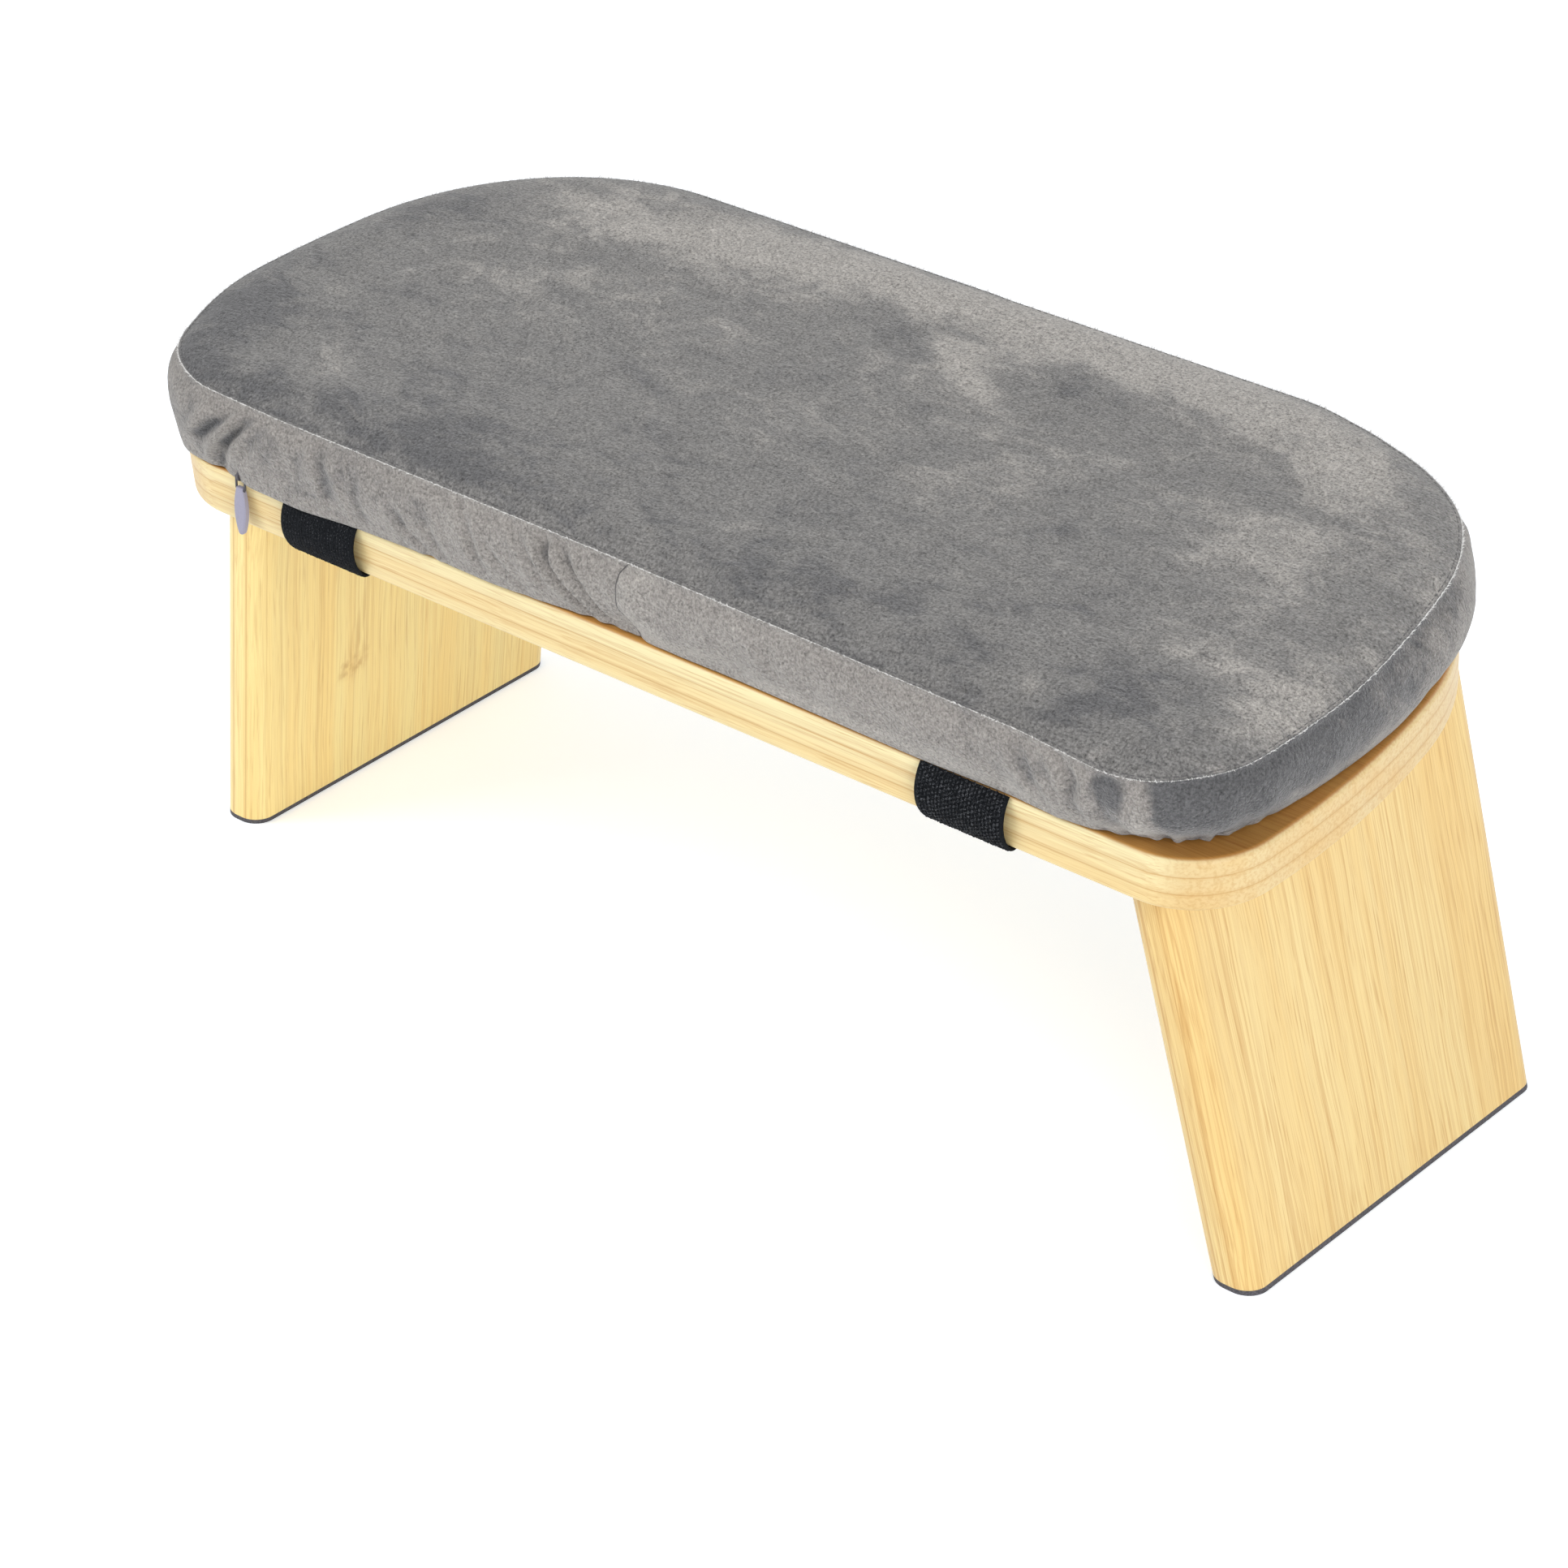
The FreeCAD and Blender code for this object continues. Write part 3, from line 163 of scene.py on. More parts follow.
def seat_frame():
    """X along the board, Y to the back, Z square to it, origin in the middle of its underside."""
    hinge = next(joint for joint in frame["joints"] if joint["name"] == "right_leg_fold")
    along = Vector((1, 0, 0))
    back = Vector(hinge["axis"]).normalized()
    up = along.cross(back)
    points = [vertex.co for vertex in frame["nodes"]["seat_board"].data.vertices]
    front_to_back = [point.dot(back) for point in points]
    middle = (min(front_to_back) + max(front_to_back)) / 2
    underside = min(point.dot(up) for point in points)
    turn = Matrix((along, back, up)).transposed().to_4x4()
    return Matrix.Translation(back * middle + up * underside) @ turn


SEAT = seat_frame()
SEAT_BACK = SEAT.inverted()


def seat_box(node):
    """Lowest and highest corner of a CAD node in the seat's frame."""
    points = np.array([SEAT_BACK @ vertex.co for vertex in frame["nodes"][node].data.vertices])
    return Vector(points.min(0)), Vector(points.max(0))


BOARD_LOW, BOARD_HIGH = seat_box("seat_board")
BOARD_TOP = BOARD_HIGH.z

# The board's plan: corner and end radii, and how far in front of the middle the bowed ends are centred
FRONT_RADIUS, BACK_RADIUS, END_RADIUS, END_SETBACK = 0.032, 0.100, 0.313, 0.025


class Outline:
    """The board's D-shaped plan, measured along its edge from the middle of the front, to the right first."""

    def __init__(self):
        length, width = BOARD_HIGH.x - BOARD_LOW.x, BOARD_HIGH.y - BOARD_LOW.y
        end_x, end_y = length / 2 - END_RADIUS, -END_SETBACK
        front_y, back_y = FRONT_RADIUS - width / 2, width / 2 - BACK_RADIUS
        front_x = end_x + math.sqrt((END_RADIUS - FRONT_RADIUS) ** 2 - (front_y - end_y) ** 2)
        back_x = end_x + math.sqrt((END_RADIUS - BACK_RADIUS) ** 2 - (back_y - end_y) ** 2)
        front_turn = math.atan2(front_y - end_y, front_x - end_x)
        back_turn = math.atan2(back_y - end_y, back_x - end_x)
        quarter = math.pi / 2
        self.arcs = [
            (front_x, front_y, FRONT_RADIUS, -quarter, front_turn),
            (end_x, end_y, END_RADIUS, front_turn, back_turn),
            (back_x, back_y, BACK_RADIUS, back_turn, quarter),
        ]
        self.back_x, self.half_width = back_x, width / 2
        self.spans = [front_x] + [radius * (high - low) for _, _, radius, low, high in self.arcs] + [back_x]
        self.half = sum(self.spans)
        self.front_corner = self.spans[0] + self.spans[1] / 2
        self.back_corner = sum(self.spans[:3]) + self.spans[3] / 2

    def at(self, place):
        """(x, y, outward x, outward y) at a place along the edge."""
        place = (place + self.half) % (2 * self.half) - self.half
        side = 1 if place >= 0 else -1
        rest = abs(place)
        if rest <= self.spans[0]:
            return side * rest, -self.half_width, 0.0, -1.0
        rest -= self.spans[0]
        for span, (x, y, radius, low, _) in zip(self.spans[1:4], self.arcs):
            if rest <= span:
                angle = low + rest / radius
                cos, sin = math.cos(angle), math.sin(angle)
                return side * (x + radius * cos), y + radius * sin, side * cos, sin
            rest -= span
        return side * (self.back_x - rest), self.half_width, 0.0, 1.0


OUTLINE = Outline()


# Meshes

def new_piece(name, points, faces, place=SEAT, smooth=True):
    """A mesh object at the origin, its points moved from their own frame into the bench's frame."""
    mesh = bpy.data.meshes.new(name)
    mesh.from_pydata([tuple(point) for point in points], [], faces)
    mesh.transform(place)
    mesh.update()
    piece = bpy.data.objects.new(name, mesh)
    bpy.context.scene.collection.objects.link(piece)
    if smooth:
        mesh.shade_smooth()
    return piece


def baked(piece, name):
    """The piece's evaluated shape as a plain mesh object of that name."""
    graph = bpy.context.evaluated_depsgraph_get()
    mesh = bpy.data.meshes.new_from_object(piece.evaluated_get(graph), depsgraph=graph)
    mesh.name = name
    bpy.data.objects.remove(piece)
    made = bpy.data.objects.new(name, mesh)
    bpy.context.scene.collection.objects.link(made)
    return made


def smooth_step(low, high, value):
    share = np.clip((value - low) / (high - low), 0, 1)
    return share * share * (3 - 2 * share)


# Wiring of node trees

class Value:
    """A number in a node tree. A sum with it adds a Math node to the tree."""

    def __init__(self, socket):
        self.socket = socket
        self.tree = socket.id_data

    def __add__(self, other):
        return maths("ADD", self, other)

    def __sub__(self, other):
        return maths("SUBTRACT", self, other)

    def __rsub__(self, other):
        return maths("SUBTRACT", other, self)

    def __mul__(self, other):
        return maths("MULTIPLY", self, other)

    def __truediv__(self, other):
        return maths("DIVIDE", self, other)

    def __abs__(self):
        return maths("ABSOLUTE", self)


def maths(operation, *values):
    tree = next(value.tree for value in values if isinstance(value, Value))
    return Value(add(tree, "ShaderNodeMath", dict(enumerate(values)), operation=operation).outputs[0])


def join(tree, value, socket):
    """Lead a value into an input, or set the input to a plain number or colour."""
    if isinstance(value, Value):
        value = value.socket
    if isinstance(value, bpy.types.NodeSocket):
        tree.links.new(value, socket)
    else:
        socket.default_value = (*value, 1.0) if socket.type == "RGBA" and len(value) == 3 else value


def add(tree, kind, values=None, **settings):
    """A node with its settings, and its inputs filled or joined: {name or number: value or socket}."""
    node = tree.nodes.new(kind)
    for name, value in settings.items():
        setattr(node, name, value)
    for key, value in (values or {}).items():
        join(tree, value, node.inputs[key])
    return node


def remap(value, low, high, to_low=0.0, to_high=1.0):
    """A smooth step from to_low to to_high while the value runs from low to high."""
    values = {0: value, 1: low, 2: high, 3: to_low, 4: to_high}
    node = add(value.tree, "ShaderNodeMapRange", values, interpolation_type="SMOOTHSTEP")
    return Value(node.outputs["Result"])


def blended(tree, share, first, second, blend_type="MIX"):
    """A colour between two others, by share."""
    values = {"Factor": share, 6: first, 7: second}
    return add(tree, "ShaderNodeMix", values, data_type="RGBA", blend_type=blend_type).outputs[2]


def combined(tree, *parts):
    return add(tree, "ShaderNodeCombineXYZ", dict(enumerate(parts))).outputs[0]


def stretched(vector, scale):
    return add(vector.id_data, "ShaderNodeMapping", {"Vector": vector, "Scale": scale}).outputs[0]


def noise(vector, scale, detail=2.0, roughness=0.5, distortion=0.0):
    """Noise on a vector. Three scales draw it out along the axes."""
    if isinstance(scale, tuple):
        vector, scale = stretched(vector, scale), 1.0
    values = {"Vector": vector, "Scale": scale, "Detail": detail, "Roughness": roughness}
    values["Distortion"] = distortion
    return Value(add(vector.id_data, "ShaderNodeTexNoise", values).outputs["Fac"])


def coordinates(tree, kind="Object"):
    return tree.nodes.new("ShaderNodeTexCoord").outputs[kind]


def placed(tree, matrix):
    """Object coordinates turned and centred into a piece's own frame."""
    inverse = matrix.inverted()
    values = {"Location": inverse.to_translation(), "Rotation": inverse.to_euler("XYZ")}
    return add(tree, "ShaderNodeMapping", {"Vector": coordinates(tree), **values}).outputs[0]


def new_group(name, inputs):
    """An empty shader node group and its inputs, by name and default. None stands for a vector."""
    tree = bpy.data.node_groups.new(name, "ShaderNodeTree")
    kinds = {type(None): "NodeSocketVector", float: "NodeSocketFloat", tuple: "NodeSocketColor"}
    for label, default in inputs.items():
        socket = tree.interface.new_socket(label, in_out="INPUT", socket_type=kinds[type(default)])
        if default is not None:
            socket.default_value = default
    given = dict(tree.nodes.new("NodeGroupInput").outputs.items())
    for label, default in inputs.items():
        if isinstance(default, float):
            given[label] = Value(given[label])
    return tree, given


def close_group(tree, results):
    """Give a group its outputs, numbers as numbers and all else as colours."""
    for label, value in results.items():
        kind = "NodeSocketFloat" if isinstance(value, Value) else "NodeSocketColor"
        tree.interface.new_socket(label, in_out="OUTPUT", socket_type=kind)
    ends = tree.nodes.new("NodeGroupOutput").inputs
    for label, value in results.items():
        join(tree, value, ends[label])


def new_material(name, **constants):
    """A material whose Principled shader has these constant values."""
    material = bpy.data.materials.new(name)
    material.use_nodes = True
    shader = material.node_tree.nodes["Principled BSDF"]
    for label, value in constants.items():
        shader.inputs[label.replace("_", " ")].default_value = value
    return material, material.node_tree, shader


def bumped(tree, shader, height, distance, strength=1.0):
    bump = add(tree, "ShaderNodeBump", {"Height": height, "Distance": distance, "Strength": strength})
    tree.links.new(bump.outputs[0], shader.inputs["Normal"])


def mottled(name, colour, shades, pattern, spread=None, rough=None, relief=None, **constants):
    """A material that runs between two shades of a colour by noise, with its roughness and relief.

    The pattern is the noise's scale, detail and roughness. The spread is where one shade turns into another.
    """
    material, tree, shader = new_material(name, **constants)
    grain = noise(coordinates(tree), *pattern)
    share = remap(grain, *spread) if spread else grain
    first, second = (tuple(min(value * shade, 1.0) for value in colour) for shade in shades)
    tree.links.new(blended(tree, share, first, second), shader.inputs["Base Color"])
    if rough:
        join(tree, share * rough[0] + rough[1], shader.inputs["Roughness"])
    if relief:
        bumped(tree, shader, grain, relief)
    return material


# Bamboo

def bamboo_group():
    """Strips, fibres, grain lines, a knuckle and glue lines of laminated bamboo.

    The vector runs X along the grain, Y across the strips and Z through the board, in metres.
    """
    tree, given = new_group("bamboo_grain", {
        "Vector": None, "End Grain": 0.0,
        "Pale": (0.9, 0.7, 0.4, 1.0), "Amber": (0.8, 0.6, 0.3, 1.0),
        "Line": (0.5, 0.3, 0.1, 1.0), "Top Shade": (1.0, 1.0, 1.0, 1.0),
        "Strip": 0.018, "Thickness": 0.02, "Seed": 0.0, "Contrast": 0.4, "Lines": 0.5,
        "Knuckle": 0.0, "Knuckle Along": 0.0, "Knuckle Across": 0.0,
    })
    plies, ply_offset = 3.0, 0.37

    def moved_by(vector, shift):
        return add(tree, "ShaderNodeVectorMath", {0: vector, 1: shift}, operation="ADD").outputs[0]

    def grain(vector, along, across, *rest):
        """Noise drawn out along the grain."""
        return noise(vector, (along, across, across), *rest)

    def lined(colour, share):
        """The colour with a share of the dark fibres' colour."""
        return blended(tree, share, colour, given["Line"])

    parts = add(tree, "ShaderNodeSeparateXYZ", {0: given["Vector"]}).outputs
    along, across, through = (Value(part) for part in parts)
    ply = through / given["Thickness"]
    ply_number = maths("FLOOR", ply * plies)
    shifted = ply_number * ply_offset + across / given["Strip"]
    strip_number = maths("FLOOR", shifted)
    strip_share = maths("FRACT", shifted)
    key = combined(tree, strip_number, ply_number, given["Seed"])
    chance = add(tree, "ShaderNodeTexWhiteNoise", {"Vector": key}, noise_dimensions="3D")
    tone = Value(chance.outputs["Value"])

    # Grain runs on from strip to strip, so only the seed moves it, and it wanders a little sideways
    moved = moved_by(given["Vector"], combined(tree, given["Seed"], given["Seed"], given["Seed"]))
    wander = (grain(moved, 9.0, 24.0) - 0.5) * 0.007
    wavy = moved_by(moved, combined(tree, 0.0, wander, 0.0))

    broad = grain(wavy, 1.6, 34.0, 3.0, 0.55, 0.3)
    bands = grain(wavy, 2.2, 120.0, 3.0, 0.6, 0.2)
    fibres = grain(wavy, 8.0, 900.0, 3.0, 0.6)
    pores = grain(wavy, 34.0, 1250.0, 2.0, 0.6)
    warmth = (tone - 0.5) * given["Contrast"] + (broad - 0.5) * 1.5 + (bands - 0.5) * 0.8
    colour = blended(tree, remap(warmth, -0.55, 0.62), given["Pale"], given["Amber"])

    side_grain = 1.0 - given["End Grain"]
    colour = lined(colour, remap(fibres, 0.44, 0.76) * 0.32 * side_grain)
    colour = lined(colour, remap(pores, 0.54, 0.70) * (given["Lines"] * 0.56 + 0.08) * side_grain)

    # Cut across, the fibres show as soft dots and the wood takes more oil
    dots = remap(grain(moved, 500.0, 900.0, 2.0, 0.6), 0.40, 0.68)
    colour = blended(tree, given["End Grain"], colour, lined(colour, dots * 0.22 + 0.38))

    # Thin grain lines lie where a long slow pattern passes its middle value
    presence = remap(grain(wavy, 10.0, 110.0), 0.30, 0.66, 0.25, 1.0)
    lines = 0.0
    for density, width, share in ((170.0, 0.014, 0.60), (300.0, 0.026, 0.50), (520.0, 0.045, 0.40)):
        from_middle = abs(grain(wavy, 1.1, density, 1.0, 0.4) - 0.5)
        lines = maths("MAXIMUM", remap(from_middle, width * 0.25, width, 1.0, 0.0) * share, lines)
    lines = lines * presence * given["Lines"] * side_grain
    colour = lined(colour, lines)

    # One knuckle, where the piece has it: a small smudge with a flame of dark fibres above it
    from_along = along - given["Knuckle Along"]
    from_centre = abs(across - (from_along * 0.22 + given["Knuckle Across"]))
    streaky = remap(grain(wavy, 30.0, 520.0), 0.46, 0.60)
    flame_width = remap(from_along, -0.004, 0.055, 0.0085, 0.0025)
    inside = remap(from_centre / flame_width, 0.2, 1.0, 1.0, 0.0)
    length = remap(from_along, -0.006, 0.002) * remap(from_along, 0.010, 0.055, 1.0, 0.0)
    flame = inside * length * streaky
    spots = remap(grain(moved, 260.0, 300.0, 3.0), 0.36, 0.70)
    foot = remap(abs(from_along), 0.002, 0.0075, 1.0, 0.0) * remap(from_centre, 0.005, 0.010, 1.0, 0.0)
    smudge = foot * (spots * 0.75 + 0.25)
    colour = lined(colour, maths("MAXIMUM", flame * 0.42, smudge * 0.55) * given["Knuckle"])

    # Glue lines between plies and between strips, and a soft painted shade along the grooves between plies
    to_ply = abs(maths("FRACT", ply * plies + 0.5) - 0.5) / plies * given["Thickness"]
    within = maths("GREATER_THAN", ply, 0.1) * maths("LESS_THAN", ply, 0.9)
    ply_line = remap(to_ply, 0.00010, 0.00034, 1.0, 0.0) * within
    ply_shade = remap(to_ply, 0.0, 0.0016, 1.0, 0.0) * within
    to_strip = maths("MINIMUM", strip_share, 1.0 - strip_share) * given["Strip"]
    strip_line = remap(to_strip, 0.0001, 0.0003, 1.0, 0.0) * given["Contrast"]
    glue = maths("MAXIMUM", ply_line * 0.62, strip_line * 0.35)
    glue = maths("MAXIMUM", glue, ply_shade * 0.24)
    colour = lined(colour, glue)

    # Painted shade: the board's top face is darker and warmer than its edges, standing in for the shadow and
    # warm bounce light under the cushion
    shaded_top_face = remap(given["Thickness"] - through, 0.00005, 0.0007, 1.0, 0.0)
    colour = blended(tree, shaded_top_face, colour, blended(tree, 1.0, colour, given["Top Shade"], "MULTIPLY"))
    height = fibres * 0.5 - glue * 1.5 - lines * 0.7
    close_group(tree, {"Color": colour, "Roughness": fibres * 0.22 + 0.36, "Height": height})
    return tree


def bamboo(name, group, matrix, values):
    """Satin-lacquered bamboo on a piece whose frame has the grain along X and the plies along Z."""
    wood = bpy.context.scene.bench_wood
    material, tree, shader = new_material(name, Coat_Weight=0.18, Coat_Roughness=0.32, Specular_IOR_Level=0.4)
    grain_way = matrix.to_3x3() @ Vector((1, 0, 0))
    facing = add(tree, "ShaderNodeVectorMath", {0: coordinates(tree, "Normal"), 1: grain_way},
                 operation="DOT_PRODUCT")
    end_grain = remap(abs(Value(facing.outputs["Value"])), 0.08, 0.55)
    shared = {"Vector": placed(tree, matrix), "End Grain": end_grain, "Line": wood.line, "Strip": wood.strip}
    grain = add(tree, "ShaderNodeGroup", {**shared, **values}, node_tree=group)
    tree.links.new(grain.outputs["Color"], shader.inputs["Base Color"])
    tree.links.new(grain.outputs["Roughness"], shader.inputs["Roughness"])
    bumped(tree, shader, grain.outputs["Height"], 0.00012, 0.6)
    return material


def leg_frame(side):
    """A leg's own frame: X up along its grain, Y across it to the back, Z through it from its inner face."""
    joint = next(joint for joint in frame["joints"] if joint["name"] == side + "_leg_fold")
    back = SEAT.to_3x3() @ Vector((0, 1, 0))
    outwards = 1 if side == "right" else -1
    points = np.array([vertex.co for vertex in frame["nodes"][side + "_leg_panel"].data.vertices])
    # The broad faces lean by the splay: their normal is the direction in which the panel is thinnest
    best = None
    for tenth in range(50, 180):
        angle = math.radians(tenth / 10)
        normal = SEAT.to_3x3() @ Vector((outwards * math.cos(angle), 0, math.sin(angle)))
        reach = points @ np.array(normal)
        if best is None or np.ptp(reach) < best[0]:
            best = (np.ptp(reach), normal, reach.min())
    thickness, normal, low = best
    up = back.cross(normal) * -outwards
    if up.z < 0:
        up = -up
    side_way = normal.cross(up)
    turn = Matrix((up, side_way, normal)).transposed().to_4x4()
    origin = Vector(joint["pos_m"])
    origin += normal * (low - origin.dot(normal))
    return Matrix.Translation(origin) @ turn, thickness


# Plush

def plush_group():
    """Short pile: fine curved streaks and lint, soft mottling, patches brushed another way, and painted light
    and shade.
    """
    tree, given = new_group("plush_pile", {
        "Vector": None, "Nap": 0.0, "Base": (0.2, 0.2, 0.2, 1.0), "Brushed And Lit": (0.3, 0.3, 0.3, 1.0),
        "Shaded": (0.1, 0.1, 0.1, 1.0), "Patch Size": 9.0, "Brushing": 1.0, "Streaks": 1.0,
    })
    vector = given["Vector"]
    patches = noise(stretched(vector, (0.75, 1.4, 1.2)), given["Patch Size"], 6.0, 0.66, 0.5)
    frayed = noise(stretched(vector, (0.8, 1.3, 1.2)), 58.0, 6.0, 0.70, 0.6)
    # Painted light and shade from the Nap input joins the random lean, moving the colour to the brushed and
    # lit shade or to the shaded one
    lean = ((frayed - 0.5) * 4.6 + (patches - 0.5) * 3.4) * given["Brushing"] + given["Nap"]
    colour = blended(tree, remap(lean, 0.02, 1.62), given["Base"], given["Brushed And Lit"])
    colour = blended(tree, remap(lean, -0.02, -1.15), colour, given["Shaded"])

    # Pile streaks: two directions that take turns, both bent
    fine, pile = (330.0, 760.0, 600.0), (3.0, 0.70, 0.9)
    turned = add(tree, "ShaderNodeMapping", {"Vector": vector, "Rotation": (0.4, 0.3, 0.95)}).outputs[0]
    turns = remap(noise(vector, 120.0), 0.42, 0.58)
    values = {0: turns, 2: noise(vector, fine, *pile), 3: noise(turned, fine, *pile)}
    mixed = Value(add(tree, "ShaderNodeMix", values, data_type="FLOAT").outputs[0])
    speckle = noise(vector, 1050.0, 2.0, 0.7)
    lint = remap(noise(turned, (420.0, 1500.0, 1000.0), 1.0, 0.5, 1.2), 0.68, 0.78)
    level = (mixed - 0.5) * (given["Streaks"] * 0.7) + 1.0
    level = (speckle - 0.5) * (given["Streaks"] * 1.3) + level
    level = lint * 0.34 + level
    grey = add(tree, "ShaderNodeCombineColor", {0: level, 1: level, 2: level}).outputs[0]
    height = frayed * 0.8 + (speckle * 0.5 + mixed * 0.9)
    close_group(tree, {"Color": blended(tree, 1.0, colour, grey, "MULTIPLY"), "Height": height})
    return tree


def plush(name, group, base, brushed_and_lit, shaded, patch_size, brushing, streaks):
    material, tree, shader = new_material(
        name, Roughness=0.95, Sheen_Weight=0.45, Sheen_Roughness=0.40, Specular_IOR_Level=0.12)
    nap = add(tree, "ShaderNodeAttribute", attribute_name="nap").outputs["Fac"]
    values = {
        "Vector": coordinates(tree), "Nap": nap, "Base": base, "Brushed And Lit": brushed_and_lit, "Shaded": shaded,
        "Patch Size": patch_size, "Brushing": brushing, "Streaks": streaks,
    }
    pile = add(tree, "ShaderNodeGroup", values, node_tree=group)
    tree.links.new(pile.outputs["Color"], shader.inputs["Base Color"])
    bumped(tree, shader, pile.outputs["Height"], 0.0011, 0.9)
    return material


# Cushion

# Heights of the side's rings as shares of the cushion's height, and how far in the rings of top and base lie
SIDE_RINGS = (0.0, 0.05, 0.13, 0.23, 0.34, 0.46, 0.58, 0.70, 0.81, 0.90, 0.965)
TOP_RINGS = (0.0, 0.0011, 0.0028, 0.0055, 0.0092, 0.0136, 0.0184, 0.0235)
CAP_RINGS = (0.0240, 0.0120, 0.0060, 0.0020)

# The tables below are in millimetres. A place is measured along the board's edge.

# Where the top seam lies and how far the band swells below it: place, the seam's distance outside the board's
# edge, its rise above the cushion's height, and the band's greatest distance outside the board's edge
SEAM_LINE = (
    (-480, 1.5, 0, 3.2), (-400, 2.2, 0, 4.2), (-335, 3, 0, 5.5), (-302, 5.8, 0, 7.8), (-285, 7.4, 0, 9),
    (-270, 6.2, 0, 8.5), (-254, 3, 0, 7), (-243, 0.4, 0, 5), (-232, -2.8, 0.3, 2.2), (-220, -4.8, 0.6, 1),
    (-209, -4.8, 0.8, 1), (-196, -3, 0.6, 2.2), (-160, -1.7, 0.4, 2.8), (-100, -1.3, 0.4, 2.8),
    (0, -0.8, 0.3, 2.8), (80, 1, 0, 3.2), (163, 2.4, -0.5, 4), (194, 4.4, -1.8, 5.2), (206, 3.4, -0.9, 4.6),
    (223, 0.6, 0, 3.6), (240, 0.2, 0, 3.6), (286, 1.1, 0, 4.2), (318, -0.2, 0, 5.6), (340, -0.8, 0, 6.8),
    (366, 1.6, 0, 7), (393, 3.4, 0, 6.6), (416, 1.4, 0, 5.6), (440, -1, 0, 4), (460, -1, 0, 3.2),
    (480, 1, 0, 3.2),
)

# Where the cushion's bottom edge lies: place, how far outside the board's edge, how far it sags
BOTTOM_EDGE = (
    (-620, -3.3, 0), (-250, -3.3, 0), (-228, -0.2, 0), (-212, 0.6, 0), (-199, -0.4, 0), (-187, 0.4, 0),
    (-177, 3, 1), (-150, 3.4, 1.4), (-127, 1.7, 0.6), (-91, 0.9, 0), (-62, 1.6, 0), (-40, 0.1, 0),
    (-20, -2.1, 0), (0, -2.7, 0), (12, -0.6, 0), (41, -1, 0), (120, 0.4, 0), (153, -0.4, 0), (175, 1, 0),
    (187, -0.6, 0), (196, -4.2, 0), (208, -7.4, 0), (240, -7.2, 0), (261, -3.7, 0), (296, -0.6, 0),
    (318, 1, 0), (370, -0.8, 0), (440, -3, 0), (620, -3.3, 0),
)

# Folds in the side band: half width, depth (under 0 for a ridge), and points on it as place and height
FOLDS = (
    (2.8, -1.1, ((-190, 34), (-193, 29), (-199, 20), (-206, 12))),
    (3, 1.8, ((-176, 34), (-182, 27), (-192, 19), (-201, 12))),
    (2.6, -1.2, ((-173, 34), (-181, 25), (-189, 16), (-194, 8))),
    (2.8, 2.3, ((-169, 34), (-174, 27), (-179, 21), (-186, 15), (-191, 9), (-192, 2))),
    (2.6, 1.2, ((-164, 34), (-168, 25), (-173, 18), (-177, 11))),
    (2.4, 0.7, ((-147, 28), (-149, 19), (-150, 10))),
    (2.4, 1.2, ((-138, 31), (-136, 19), (-135, 8))),
    (1.8, -0.9, ((-130, 22), (-128, 12), (-127, 4))),
    (2.2, 0.9, ((-120, 24), (-121, 14), (-119, 6))),
    (2.3, 1.4, ((-103, 18), (-100, 10), (-95, 6), (-90, 2))),
    (2.4, 1.4, ((-89, 20), (-87, 12), (-84, 4))),
    (2.3, 1.3, ((-74, 31), (-68, 19), (-67, 12), (-63, 5))),
    (2.3, 1.4, ((-61, 19), (-55, 11), (-47, 4))),
    (2.6, 1.4, ((-52, 30), (-42, 21), (-39, 15), (-35, 8))),
    (2.4, 2.9, ((-35, 33), (-35, 27), (-34, 21), (-29, 16), (-24, 10), (-20, 3))),
    (2.3, 2.4, ((-27, 33), (-27, 28), (-23, 21), (-18, 14), (-14, 9), (-11, 3))),
    (3, 0.8, ((60, 24), (64, 14), (69, 5))),
    (2.8, 1.2, ((159, 31), (163, 23), (167, 14), (171, 6))),
    (2.6, 1, ((166, 28), (171, 21), (175, 15), (178, 7))),
    (2.8, 1.8, ((175, 29), (179, 25), (183, 21), (181, 14), (184, 7))),
    (3, 1.1, ((194, 26), (193, 18), (196, 9))),
    (3, -1.1, ((212, 31), (210, 25), (206, 15), (203, 7))),
    (3.6, 1.2, ((236, 22), (236, 14), (238, 6))),
    (6, 0.9, ((-300, 28), (-310, 15), (-316, 4))),
    (5, 1.1, ((-420, 26), (-411, 14), (-404, 4))),
    (5.5, 1, ((405, 27), (412, 15), (414, 4))),
    (5, 0.9, ((520, 26), (512, 12), (508, 4))),
    (5.5, 1, ((-530, 26), (-536, 14), (-548, 4))),
)

# Points on the join of the side band, as place and height
JOIN = ((1, 30.4), (-2, 26.7), (-3, 20.7), (-3, 13.7), (-1, 7.7), (1.8, 1))
